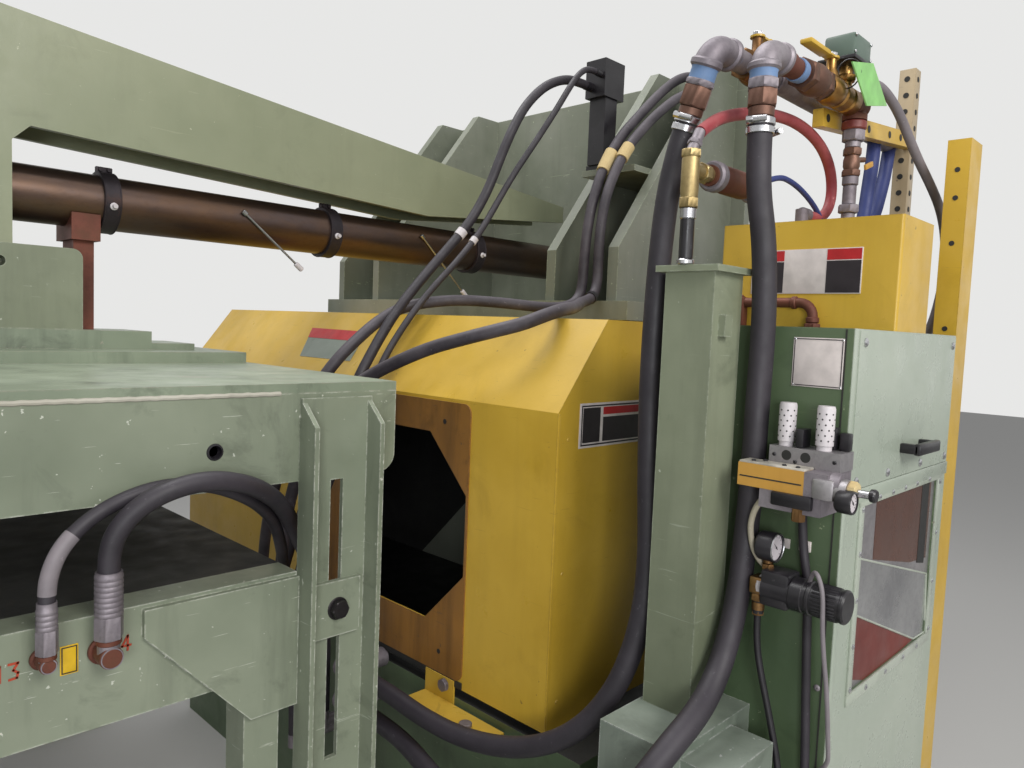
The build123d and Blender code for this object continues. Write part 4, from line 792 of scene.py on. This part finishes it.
def dress_elbow(name, corner, down, marks):
    """Elbow with its bead, thread tape, union, tail and clamps; marks are distances below the corner."""
    bead, tape, union, nut, tail, hose = marks

    def below(distance):
        return corner + down * distance

    centre = corner + (down + X) * ELBOW_BEND
    line = [below(bead + 4)]
    line += [centre - (X * math.cos(a) + down * math.sin(a)) * ELBOW_BEND
             for a in angles(12, math.pi / 2, closed=True)]
    line += [corner + X * 64]
    body = Shape().sweep(line, 26, 32)
    body.collar(below(bead), down, tape - bead, BEAD_R, soft=4, steps=40)
    body.collar(corner + X * 52, X, 16, BEAD_R, soft=4, steps=40)
    body.hexagon(below(union), down, nut - union, 52)
    body.done(name, "zinc", "water_pipes")
    Shape().turned(below(tape), down, [(0, 10), (0, 26.2), (4, 24.8), (union - tape, 25.2),
                                       (union - tape, 10)], 40).done(name + "_tape", "tape", "water_pipes")
    nuts = Shape().hexagon(below(nut), down, tail - nut, 50).collar(below(tail), down, hose - tail, 23.5)
    nuts.done(name + "_nuts", "bronze", "water_pipes")
    Shape().collar(below(hose), down, CUFF_END - hose, HOSE_R).done(name + "_cuff", "hose", "water_pipes")
    clamps = Shape()
    worm_clamp(clamps, below(hose + 2), down, HOSE_R + 1.5, (-1, -0.3, 0))
    worm_clamp(clamps, below(hose + 18), down, HOSE_R + 1.5, (1, -0.6, 0))
    clamps.done(name + "_clamps", "chrome")


def dress_pipes():
    """The two water pipes with their elbows, nipples and thread tape."""
    dress_elbow("left_elbow", LEFT_PIPE, LEFT_DOWN, (24, 40, 62, 74, 112, 128))
    dress_elbow("right_elbow", RIGHT_PIPE, -Z, (22, 37, 52, 71, 102, 121))
    nipple = Shape().bar(right_at(160), right_at(262), 20.5).collar(right_at(170), X, 22, 23.5)
    body = Shape().hexagon(right_at(250), X, 24, 56)
    body.solid(right_at(272), X, [(0, 25), (12, 31), (32, 33), (52, 31), (62, 25)], 40)
    body.hexagon(right_at(328), X, 20, 56)
    tape = Shape()
    for start, profile in ((right_at(222), [(0, 22.5), (8, 23.5), (22, 22), (22, 10)]),
                           (right_at(348), [(0, 24.5), (8, 23.5), (14, 10)]),
                           (left_at(120), [(0, 25.5), (10, 23.5), (18, 10)])):
        tape.turned(start, X, [(0, 10), *profile], 40)
    solenoid = Shape().solid(right_at(360), X, [
        (0, 25), (6, 29), (30, 31), (52, 29), (58, 24), (62, 24),
        (66, 28), (94, 28), (98, 23), (106, 23), (110, 27), (140, 27),
        (150, 20)], 40)
    rear = Shape().bar(left_at(100), left_at(1008), 21.5).collar(left_at(300), X, 26, 26)
    for shape, name, finish in ((nipple, "pipe_nipple", "rusty"), (body, "check_valve_body", "bronze"),
                                (tape, "pipe_tape", "tape"), (solenoid, "solenoid_body", "gold"),
                                (rear, "rear_pipe", "zinc")):
        shape.done(name, finish, "water_pipes")


def dress_valves():
    """Brass bodies of the two ball valves, with their nuts and sleeved levers."""
    left = left_at(225)
    right = right_at(388)
    body = Shape().hexagon(left - X * 50, X, 22, 56).hexagon(left + X * 28, X, 22, 56)
    bulge = [(32 * math.sin(a), 23 + 11 * math.cos(a)) for a in map(math.radians, range(-75, 76, 15))]
    body.turned(left, X, [(-30, 20), *bulge, (30, 20)], 40)
    body.solid(left + Z * 28, Z, [(0, 15), (10, 13), (14, 10.5), (35, 10.5)])
    stem = Shape().solid(right + Z * 24, Z, [(0, 17), (12, 14), (18, 10.5), (39, 10.5)])
    slack = Vector((1, 0, 3))
    half_width = 12.5
    for side, middle, way, shape, name, finish in (
            ("left", left, 1, body, "left_valve_body", "brass"),
            ("right", right, -1, stem, "right_valve_stem", "gold")):
        shape.done(name, finish, "ball_valves")
        low, high = (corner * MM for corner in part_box(side + "_valve_lever"))
        near = middle.x + way * 34
        low.x, high.x = (near, high.x) if way > 0 else (low.x, near)
        low.y, high.y = middle.y - half_width, middle.y + half_width
        top = Vector((middle.x, middle.y, high.z + 0.4))
        blocks(side + "_lever_sleeve", "yellow", 3, (low - slack, high + slack), body=side + "_lever")
        Shape().hexagon(top, Z, 8, 19).done(side + "_lever_nut", "chrome")


# What hangs between the pipes: drop, tag, actuator and small fittings

def dress_drop():
    """Tee at the right pipe's end, and the drop to the yellow box."""
    x, y, z = 530, RIGHT_PIPE.y, RIGHT_PIPE.z

    def at(height):
        return x, y, height

    tee = Shape().bar((500, y, z), (556, y, z), 25.5, soft=4)
    tee.turned(at(2092), Z, [(0, 0), (0, 26.2), (12, 26.2), (16, 22.5), (52, 22.5), (58, 18), (60, 0)])
    tee.done("drop_tee", "rusty", "water_pipes")
    Shape().collar(at(2091), -Z, 20, 26.5, soft=3).done("drop_collar", "red_brown", "water_pipes")
    zinc = Shape().hexagon(at(2071), -Z, 24, 44)
    zinc.collar(at(2047), -Z, 15, 16.5).collar(at(1970), -Z, 20, 17.2)
    zinc.collar(at(1950), -Z, 43, 14.5).hexagon(at(1907), -Z, 18, 40)
    zinc.collar(at(1889), -Z, 38, 14.5).done("drop_unions", "zinc", "water_pipes")
    bronze = Shape().hexagon(at(2032), -Z, 16, 36)
    bronze.solid(at(2016), -Z, [(0, 15), (10, 17.8), (24, 17.8), (32, 15)])
    bronze.hexagon(at(1984), -Z, 14, 36).bar(at(2006), (x + 36, y - 14, 2012), 6)
    bronze.done("drop_valve_body", "bronze", "water_pipes")
    Shape().box((x + 34, y - 20, 1996), (x + 78, y - 14, 2008), soft=1.6,
                turn=Matrix.Rotation(math.radians(-20), 3, "Y")).done("drop_valve_lever", "orange")


def dress_actuator():
    """Grey-green actuator on the right pipe, with its plate and white elbow for the grey hose."""
    x, y = 465, RIGHT_PIPE.y
    box = Shape().box((420, y - 34, 2199), (512, y + 34, 2250), soft=8)
    box.bar((x, y, 2247), (x, y, 2254), 18, soft=3).done("actuator_box", "actuator")
    neck = Shape().collar((x, y, 2145), Z, 48, 14).hexagon((x, y, 2160), Z, 14, 38)
    neck.done("actuator_neck", "gold")
    blocks("actuator_plate", "black", 1.5, ((408, y - 40, 2191), (522, y + 40, 2199)))
    line = [Vector((along, y - forward, z)) for along, forward, z in (
        (512, 5, 2230), (522, 5, 2230), (534, 6, 2226), (545, 7, 2222),
        (553, 8, 2206), (560, 8, 2184), (564, 8, 2172))]
    fitting = Shape().sweep(line, 13.5, 24).collar((514, y - 5, 2230), X, 8, 17)
    fitting.done("actuator_elbow", "white")
    screws("actuator_screws", [(sx, y - 34, sz) for sx in (424, 506) for sz in (2208, 2242)], -Y,
           3.5, 2, "chrome")


def dress_tag():
    """Bare green tag tied under the valve."""
    corners = [Vector((x, -1235, z)) for x, z in ((342, 2168), (471, 2198), (582, 2121), (450, 2091))]
    middle = sum(corners, Vector()) / 4
    share = 0.86
    Shape().slab([middle.lerp(corner, share) for corner in corners], Y * 3).done("green_tag", "tag")
    loop = [Vector((408, -1208 + 26 * math.cos(a), 2158 + 30 * math.sin(a))) for a in angles(20, closed=True)]
    Shape().sweep(loop, 1.6, 8).done("tag_tie", "black")


def dress_rail():
    """Sloping yellow bar and the beige strut post with its rows of holes."""
    low, high = Vector((437, -1149, 2086)), Vector((1018, -1149, 2149))
    half_bar = Z * 19.5
    depth = Y * 24
    end = [low - half_bar, low + half_bar, low + half_bar + depth, low - half_bar + depth]
    Shape().slab(end, high - low).done("rail_bar", "yellow", "pipe_rail")
    blocks("rail_post", "beige", 2, ((1018, -1143, 0), (1060, -1101, 2345)), node="pipe_rail")
    # The holes are black discs: painted shade in the holes
    holes = Shape()
    for x in (462, 640, 700, 840, 920):
        holes.disc(low + (high - low) * (x - low.x) / (high.x - low.x) - Y * 0.3, -Y, 9)
    for z in (2318 - 43.5 * i for i in range(26)):
        holes.disc((1039, -1143.2, z), -Y, 7.5).disc((1017.8, -1122, z), -X, 7.5)
    for z in (2010, 1945, 1840, 1640, 1420):
        holes.disc((769.7, -1331, z), -X, 6)
    holes.done("rail_holes", "painted_shade")


def dress_strainer():
    """Strainer with its zinc collars, and the tee with its ring and riser."""
    y, z = -1100, 1903
    collars = Shape()
    for x in (67, 226):
        collars.collar((x, y, z), X, 24, 29, soft=4, steps=48)
    collars.done("strainer_collars", "zinc", "strainer")
    body = Shape().solid((60, y, z), X, [
        (0, 20), (34, 20), (50, 25.5), (60, 26.8), (126, 26.8), (136, 25.5),
        (152, 20), (188, 20)], 48)
    body.done("strainer_body", "rusty", "strainer")
    x = -5
    tee = Shape().hexagon((x, y, 1833), Z, 18, 33)
    tee.solid((x, y, 1851), Z, [(0, 15.5), (12, 16.5), (68, 16.5), (74, 15.5)])
    tee.hexagon((x, y, 1924), Z, 14, 34).collar((x, y, z), X, 66, 14.5)
    tee.hexagon((x + 34, y, z), X, 18, 34).done("tee_body", "pale_brass", "strainer_tee")
    rings = Shape().collar((x, y, 1812), Z, 21, 14.5).collar((x, y, 1729.5), Z, 10, 15.8)
    rings.done("tee_rings", "chrome", "strainer_tee")
    Shape().collar((x, y, 1738), Z, 76, 13.2, soft=3).done("tee_riser", "black", "strainer_tee")
    ferrule = Shape().bar((x, y, 1934), (18, -1102, 1976), 10.5)
    ferrule.hexagon((2, -1100, 1947), (23, -2, 42), 10, 24)
    ferrule.done("tee_ferrule", "zinc", "strainer_tee")


# Air equipment on the cabinet's side

def dress_mufflers():
    """White mufflers with their rows of pores."""
    pores = Shape()
    bodies = Shape()
    columns = 8
    for y in (-1262, -1332):
        middle = Vector((112, y, 1406))
        bodies.turned(middle, Z, [(0, 0), (0, 13), (8, 13), (9, 15.5), (74, 15.5), (79, 14), (80, 0)], 40)
        for row in range(6):
            for k in range(columns):
                turn = 2 * math.pi * (k + 0.5 * (row % 2)) / columns
                out = Vector((math.cos(turn), math.sin(turn), 0))
                pores.solid(middle + out * 15.4 + Z * (18 + 9.5 * row), out, [(0, 1.7), (0.5, 1.4)], 8)
    bodies.done("muffler_bodies", "white", "exhaust_mufflers")
    # The pores are black: painted shade in the muffler's pores
    pores.done("muffler_pores", "painted_shade")


def dress_air():
    """Manifold's coils and ports, and the slide valve's speckled top."""
    dress_mufflers()
    seat = 1406.5
    blocks("manifold_blocks", "black", 2, ((96, -1300, seat), (130, -1285, 1440)),
           ((132, -1368, seat), (148, -1350, 1438)), ((128, -1345, seat), (148, -1312, 1446)))
    # The ports are black discs: painted shade in the open ports
    ports = Shape()
    for y in (-1273, -1308):
        ports.disc((92.5, y, 1391), -X, 9.2, 0.8, 24)
    ports.done("manifold_ports", "painted_shade")
    screws("manifold_screws", [(91.5, -1250, 1390), (91.5, -1360, 1390), (91.5, -1290, 1381)], -X,
           3.5, 2.5, "black")
    top = 1376.5
    blocks("slide_top", "speckled", 1, ((50.5, -1325.5, 1372.5), (90.5, -1203.5, top)))
    screws("slide_screws", [(x, y, top) for x, y in ((60, -1285), (60, -1310), (64, -1225),
                                                     (80, -1240))], Z, 4.2, 3, "black")
    # Black strip in the groove: painted shade
    blocks("slide_groove", "painted_shade", 0, ((49.5, -1322, 1347.5), (50.5, -1206, 1350)))


NEEDLE_TURN = 2.4


def dress_gauge(name, place, radius, depth):
    """Gauge's case, dial, marks and needle; place is the middle of its glass."""
    way = -Y
    case = Shape().solid(place - way * depth, way, [
        (0, radius - 3), (4, radius), (depth - 3, radius + 0.8), (depth, radius - 0.5),
        (depth, radius - 3), (depth - 3, radius - 3.5)], 48)
    case.done(name + "_case", "black", "pressure_gauges")
    Shape().disc(place - way * 2.9, way, radius - 3.6, steps=48).done(name + "_dial", "dial")
    marks = Shape()
    for degrees in range(-45, 226, 27):
        radial = facing_service(math.radians(degrees))
        side = way.cross(radial) * 0.5
        a, b = (place - way * 2.2 + radial * (radius - inset) for inset in (5.5, 9))
        marks.slab([a - side, a + side, b + side, b - side], way * 0.2)
    needle = facing_service(NEEDLE_TURN)
    side = way.cross(needle) * 0.8
    centre = place - way * 1.8
    tail, tip = centre - needle * 6, centre + needle * 14
    marks.slab([tail - side, tip - side * 0.3, tip + side * 0.3, tail + side], way * 0.4)
    marks.solid(centre - way * 0.2, way, [(0, 2.4), (0.8, 2)], 12)
    marks.done(name + "_marks", "label_black")


def dress_shutoff():
    """Grey casting, cream ring, chrome shaft and knob of the shut-off valve, and the two gauges."""
    x, z = 66, 1348
    casting = Shape().box((44, -1380, 1329), (100, -1341, 1366.5), soft=6)
    casting.solid((x, -1372, z), -Y, [(0, 19), (12, 21.5), (26, 20)], 40)
    casting.done("shutoff_casting", "aluminium")
    x += 4
    Shape().hexagon((x, -1386, z + 2), -Y, 24, 30).done("shutoff_ring", "cream")
    Shape().collar((x, -1408, z), -Y, 24, 7).done("shutoff_shaft", "chrome")
    Shape().solid((x, -1430, z), -Y, [(0, 8.5), (2, 11), (8, 11.5), (11, 9.5)]).done("shutoff_knob", "black")
    blocks("valve_dark_block", "black", 4, ((44.5, -1343, 1306), (100, -1269, 1331)))
    Shape().hexagon((60, -1316, 1283), Z, 24, 22).done("valve_neck", "brass")
    dress_gauge("lower_gauge", Vector((50, -1413, 1334)), 19.5, 28)
    gauge = Vector((96, -1266, 1217))
    dress_gauge("regulator_gauge", gauge, 27, 34)
    stem = Shape().hexagon((96, -1250, 1174), Z, 10, 20)
    stem.collar((96, -1250, 1184), Z, 10, 9).done("gauge_stem", "brass", "pressure_gauges")
    bezel = [Vector((96 + 26.2 * math.cos(a), -1266.5, 1217 + 26.2 * math.sin(a)))
             for a in angles(48, closed=True)]
    Shape().sweep(bezel, 1.4, 8).done("gauge_bezel", "chrome")


def dress_regulator():
    """Ribbed knob, bowl and brass elbow of the regulator."""
    x, z = 96, 1142
    ribs = Shape().collar((x, -1399.5, z), Y, 10, 30.2, soft=3, steps=48)
    for turn in angles(28):
        ribs.solid(Vector((x, -1386, z)) + facing_service(turn) * 28.5, Y,
                   [(0, 1.2), (3, 2.2), (40, 2.2), (43, 1.2)], 8)
    ribs.collar((x, -1340, z), Y, 8, 31.8, soft=2, steps=48)
    ribs.collar((x, -1326, z), Y, 24, 30.8, soft=2, steps=48)
    ribs.box((x - 26, -1302, z - 30), (x + 26, -1248, z + 36), soft=6)
    ribs.done("regulator_ribs", "black")
    Shape().hexagon((x, -1248.5, z), Y, 12, 34).done("regulator_nut", "white")
    elbow = Shape().box((x - 16, -1251.5, z - 16.8), (x + 16, -1222.5, z + 15.8), soft=4)
    elbow.hexagon((x, -1236, z - 17), -Z, 14, 26).collar((x, -1236, z - 32), -Z, 18, 11.8)
    elbow.hexagon((x, -1236, z - 50.5), -Z, 8, 20).done("regulator_elbow", "brass")
    blocks("small_plates", "label", 0.8, ((146.5, -1306, 1208), (150.8, -1284, 1228)),
           ((146.5, -1266, 1206), (150.8, -1250, 1224)))


# Cabinet: latches, edges, window and bare plates

FRONT = -1360
SIDE = 148.5


def dress_cabinet():
    """Latch screws, pale edges, side screws and handle of the cabinet."""
    latches = [(x, FRONT, z) for x in (195, 735) for z in (1345, 1600)]
    latches += [(360, FRONT, 1345), (560, FRONT, 1345)]
    screws("door_latches", latches, -Y, 8.5, 4, "chrome")
    back = -1355.5
    blocks("cabinet_edges", "door", 1, ((150, -1358.5, 1300), (171, back, 1624)),
           ((150, -1358.5, 125), (168, back, 1300)), ((152, -1360.2, 1300), (768, back, 1328.5)))
    # Black strips in the door's gaps: painted shade
    blocks("door_gap", "painted_shade", 0, ((SIDE, -1344, 125), (150.2, -1341.5, 1622)),
           ((168.5, -1356.8, 1329), (171.5, -1355.3, 1622)),
           ((168.5, -1356.8, 1327), (760, -1355.3, 1331)))
    dress_window()
    dress_nameplates()
    screws("cabinet_side_screws", [(150, y, z) for y in (-1335, -985) for z in (700, 960, 1440)], -X,
           6, 3, "zinc")
    grip = Shape()
    for x in (424, 540):
        grip.box((x, -1396, 1378), (x + 16, -1359, 1398), soft=3)
    grip.box((424, -1400, 1376), (556, -1386, 1400), soft=4)
    grip.done("handle_grip", "black", "door_handle")


def dress_window():
    """Window frame with its screws, and plain areas that stand for what shows in the sheet."""
    x0, x1, z0, z1 = 255, 710, 925, 1293
    wide = 22
    blocks("window_frame", "pale_frame", 1.2, *(((a, FRONT, b), (c, -1355.5, d)) for a, b, c, d in (
        (x0 - wide, z0 - wide, x1 + wide, z0), (x0 - wide, z1 - 2, x1 + wide, z1 + 14),
        (x0 - wide, z0, x0, z1), (x1, z0, x1 + wide, z1))))
    places = [(x0 - wide / 2, z) for z in (935, 1020, 1110, 1200, 1285)]
    places += [(x1 + wide / 2, z) for z in (935, 1050, 1165, 1285)]
    places += [(x, z1 + 7) for x in (330, 404, 479, 554, 640)]
    places += [(x, z0 - wide / 2) for x in (330, 440, 550, 640)]
    screws("window_screws", [(x, FRONT, z) for x, z in places], -Y, 5.5, 2.8, "chrome")
    rim = Shape()
    corners = [Vector((x, -1354, z)) for x, z in (
        (262, 1187), (695, 1070), (716, 926), (635, 930), (259, 1077))]
    for start, end in zip(corners, corners[1:]):
        rim.sweep([start, end], 2.2, 6)
    rim.done("window_plate_rim", "pale_frame")
    for name, finish, lift, outline in (
            ("window_brown_area", "window_brown", 0.6,
             ((339, 1291), (684, 1291), (684, 1110), (572, 1120), (340, 1170))),
            # The dark strip is painted shade inside the window
            ("window_dark_strip", "painted_shade", 1.2,
             ((620, 1110), (670, 1100), (670, 1287), (620, 1287))),
            ("window_bright_plate", "chrome", 1.6,
             ((269, 1185), (695, 1068), (716, 924), (635, 928), (259, 1075))),
            ("window_red_area", "inner_red", 1,
             ((259, 1075), (635, 928), (360, 917), (268, 945)))):
        Shape().slab([(x, -1352.1, z) for x, z in outline], -Y * lift).done(name, finish)


def dress_nameplates():
    """Bare nameplate on the cabinet's side and bare label on the yellow box."""
    blocks("nameplate", "label", 0.4, ((SIDE, -1341, 1514), (150.2, -1247, 1605)))
    frame_lines("nameplate_border", (-1339, 1516), (-1249, 1603), 1.6, lambda y, z: (SIDE, y, z), -X)
    screws("nameplate_pins", [(SIDE, y, z) for y in (-1338, -1250) for z in (1517, 1602)], -X,
           2.2, 1.2, "chrome")
    face = 360
    blocks("box_label", "label", 0.6, ((face, -1283, 1698), (362.2, -1044, 1792)))
    for name, finish, low, high in (("box_label_band", "label_red", 1768, 1790),
                                    ("box_label_blocks", "label_black", 1700, 1766)):
        blocks(name, finish, 0, *(((face - PRINT, y0, low), (face, y1, high))
                                  for y0, y1 in ((-1281, -1211), (-1118, -1047))))


# Frame, ports and guard

BEAM_FACE = -480
# Ports: number, x, height of the elbow's bend, of the hexagon and of the ferrule's end, radii
PORTS = (("13", -897, 1028, 1046, 1131, 12, 14.5), ("14", -804, 1017, 1048, 1163, 18, 21))
RIB_PITCH = 9


def dress_ports():
    """Ferrules, hexagons and rusty elbows of the two ports, with their plain numbers and bare sticker."""
    y = -515
    for number, x, bend_z, hex_z, end_z, r, ferrule_r in PORTS:
        elbow = Shape().collar((x, -479.5, bend_z), -Y, 12, r + 6, soft=3)
        elbow.bar((x, -490, bend_z), (x, y - r - 1, bend_z), r + 1.2, soft=4)
        elbow.collar((x, y, hex_z - 10), Z, 10, r + 2.5).done(f"port_{number}_elbow", "rusty")
        across = 1.78 * (ferrule_r + 2)
        ferrule = Shape().hexagon((x, y, hex_z - 0.5), Z, 41, across, spin=math.pi / 6)
        plain, raised = ferrule_r + 0.4, ferrule_r + 1.6
        length = end_z - hex_z - 39.5
        rings = [(0, 6), (0, plain)]
        ribs = math.ceil((end_z - hex_z - 40) / RIB_PITCH) - 1
        for start in (RIB_PITCH * i for i in range(ribs)):
            rings += [(start + 2, raised), (start + 6, raised), (start + 8, plain)]
        ferrule.turned((x, y, hex_z + 40), Z, rings + [(length, plain), (length, 6)], 40)
        ferrule.done(f"port_{number}_ferrule", "zinc")
    blocks("sticker", "sticker", 0.3, ((-869, -481.2, 988), (-841, -479.8, 1038)))
    frame_lines("sticker_border", (-867, 990), (-843, 1036), 1.8, lambda x, z: (x, -481.6, z), -Y)
    digits("13", (-944, BEAM_FACE, 1016), 26)
    digits("14", (-772, BEAM_FACE, 1017), 26)


def dress_frame():
    """Bolt heads, weld beads and cable bush of the extruder's frame."""
    bolts, welds, caulk = Shape(), Shape(), Shape()
    caulk_start, caulk_step, caulk_z = -2280, 11.5, 1450
    weld_x, weld_top, weld_step = -432.5, 1060, 6.2
    for side, slot_y, beam_y in ((-1, -505, BEAM_FACE), (1, 1365, 1340)):
        way = side * Y
        bolts.collar((-345, slot_y - side * 0.5, 988), way, 3.5, 24.5, soft=1)
        bolts.hexagon((-345, slot_y + side * 2, 988), way, 14.5, 35.8, spin=math.pi / 6)
        y = beam_y + side * 0.6
        caulk.sweep([Vector((caulk_start + caulk_step * i, y, caulk_z + 0.6 * math.sin(i * 2.3)))
                     for i in range(158)], 4.6, 8)
        welds.sweep([Vector((weld_x, y, weld_top - weld_step * i + 0.4 * math.sin(i * 1.9)))
                     for i in range(42)], 3.5, 6)
    bolts.done("slot_bolts", "dark_steel")
    welds.done("post_welds", "frame")
    caulk.done("deck_caulk", "caulk")
    Shape().hexagon((-502, BEAM_FACE, 808), -Y, 8, 20).done("gusset_bolt", "dark_steel")
    # The hole is a black disc: painted shade in the hole
    Shape().disc((-539, -480.2, 852), -Y, 7, steps=20).done("gusset_hole", "painted_shade")
    Shape().turned((-607, BEAM_FACE, 1344), -Y, [
        (-11, 12.8), (0, 12.8), (0, 16.5), (2.2, 15.5), (2.6, 12.5), (-11, 10),
        (-11, 12.8)]).done("cable_bush", "black")


def dress_guard():
    """Rivets, bare label places, bracket bolts and edge strips of the side guard."""
    rivets = Shape()
    for z in (1352, 1040, 735):
        rivets.turned((88, -762, z), -Y, [(0, 0), (0, 5), (1.5, 3.5), (2, 0)], 16)
    rivets.done("guard_rivets", "yellow")
    # The panel's holes are black discs: painted shade
    holes = Shape().disc((45.5, -382, 1353), -X, 6.5).disc((45.5, -388, 746), -X, 6.5)
    holes.done("panel_holes", "painted_shade")
    face, print_face = -763.6, -764.1
    blocks("guard_label", "label", 0.4, ((124, face, 1328), (400, -762, 1433)))
    frame_lines("guard_label_border", (130, 1333), (394, 1428), 3.5, lambda x, z: (x, face, z), -Y)
    blocks("guard_label_band", "label_red", 0, ((211, print_face, 1404), (388, face, 1422)))
    blocks("guard_label_blocks", "label_black", 0, ((136, print_face, 1340), (200, face, 1422)),
           ((211, print_face, 1340), (388, face, 1398)))
    low_near, high_near, high_far, low_far = (Vector(corner) for corner in (
        (99, 430, 1478), (171, 472, 1572), (169, 149, 1569), (99, 135, 1478)))
    out = Vector((-0.793, 0, 0.609))
    sunk = out * -2
    Shape().slab([corner + sunk for corner in (low_near, high_near, high_far, low_far)], out * 3.2).done(
        "roof_label", "plinth")
    band_start = 0.66
    band = [low_near.lerp(high_near, band_start), high_near, high_far, low_far.lerp(high_far, band_start)]
    Shape().slab(band, out * 2).done("roof_label_band", "label_red")
    bolts = Shape().hexagon((43.5, -420, 668), -X, 12, 30)
    bolts.hexagon((-10, -560, 627.5), Z, 12, 30).done("bracket_bolts", "zinc")
    blocks("guard_corner_strip", "yellow", 1, ((49, -764.5, 671), (56, -761.5, 1412)))
    # Black band at the panel's foot: painted shadow in the gap below the panel
    blocks("panel_foot_shadow", "painted_shade", 0.5, ((47, -478, 672), (50.3, 260, 689.5)))


# Barrel and hoses: bands, probes, wraps and ties

BARREL_Y = 430
BARREL_Z = 1895


def dress_bands():
    """Bolt lugs and terminals of the barrel's heater bands."""
    lugs = Shape()
    posts = Shape()
    for x in (-512, 181, 841):
        lugs.box((x - 21, 424, 1975.5), (x + 21, 436, 1992), soft=2)
        for start in (x - 21.2, x + 17.2):
            lugs.collar((start, BARREL_Y, BARREL_Z), X, 4, 83.2, soft=1, steps=64)
        for side in (-1, 1):
            lugs.hexagon((x + side * 11, 424.5, 1985), -Y, 7, 11)
        posts.solid((x, 350, 1880), -Y, [(0, 10), (4, 10), (6, 6), (16, 6)], 16)
    lugs.done("band_lugs", "band")
    posts.done("band_terminals", "white")


def dress_wraps():
    """Cloth wraps and strap on the guard's hoses, ties on the arch hoses, sleeve at port 13."""
    for name, cord_name, start, end, radius, finish in (
            ("upper_cloth_wrap", "upper_guard_hose", (800, -262, 2130), (838, -262, 2192), 21.5,
             "cream"),
            ("lower_cloth_wrap", "lower_guard_hose", (838, -305, 2170), (873, -305, 2214), 21.5,
             "cream"),
            ("guard_hose_strap", "lower_guard_hose", (690, -320, 1700), (705, -318, 1716), 20,
             "black"),
            ("arch_hose_tie", "arch_hose", (328, -88, 1872), (344, -91, 1892), 16.8, "white"),
            ("thin_hose_tie", "thin_arch_hose", (345, -131, 1853), (358, -132, 1869), 11.8,
             "white"),
            ("port_13_sleeve", "port_13_hose", (-858, -509, 1233), (-897, -515, 1141), 13.7,
             "grey_hose")):
        line = [place * MM for place in centreline(metres(CORDS[cord_name][2]))]
        first, last = sorted(min(range(len(line)), key=lambda i: (line[i] - Vector(place)).length)
                             for place in (start, end))
        Shape().sweep(line[first:max(last, first + 2) + 1], radius, 24).done(name, finish)


def dress_probes():
    """Two thermocouple rods with white plugs on the barrel's near side."""
    rods = Shape()
    plugs = Shape()
    y = 352
    for (x0, z0), (x1, z1) in (((-145, 1915), (54, 1758)), ((539, 1921), (765, 1716))):
        start, end = Vector((x0, y, z0)), Vector((x1, y, z1))
        way = (end - start).normalized()
        rods.bar(start, end, 3.5, 12, 0.5)
        plugs.bar(end - way * 30, end, 8.5, 20, 2)
        rods.collar(start - way * 4, way, 16, 7.5, soft=1, steps=20)
    rods.done("probe_rods", "steel")
    plugs.done("probe_plugs", "white")


def dress_side_pipe():
    """Small brown pipe in front of the yellow box, with its elbow down to the cabinet top."""
    x, z, bend = 345, 1678, 30
    line = [Vector((x, y, z)) for y in (-1030, -1100, -1165)]
    line += [Vector((x, -1165 - bend * math.sin(a), z - bend + bend * math.cos(a)))
             for a in angles(6, math.pi / 2, closed=True)[1:]]
    line += [Vector((x, -1195, 1622))]
    shape = Shape().sweep(line, 10.5, 20).collar((x, -1195, 1648), -Z, 12, 13.5)
    shape.collar((x, -1160, z), Y, 12, 13.5).hexagon((x, -1195, 1623), Z, 12, 30)
    shape.hexagon((x, -1036, z), Y, 14, 30)
    shape.box((x - 12, -1042, 1622), (x + 12, -1018, 1690), soft=3).done("side_pipe", "rusty")


dress_nodes()
for cord_name, cord in CORDS.items():
    lay_cord(cord_name, *cord)
for dress in (dress_pipes, dress_valves, dress_wraps, dress_probes, dress_side_pipe, dress_ports, dress_frame,
              dress_bands, dress_drop, dress_actuator, dress_tag, dress_rail, dress_strainer, dress_air,
              dress_shutoff, dress_regulator, dress_cabinet, dress_guard):
    dress()
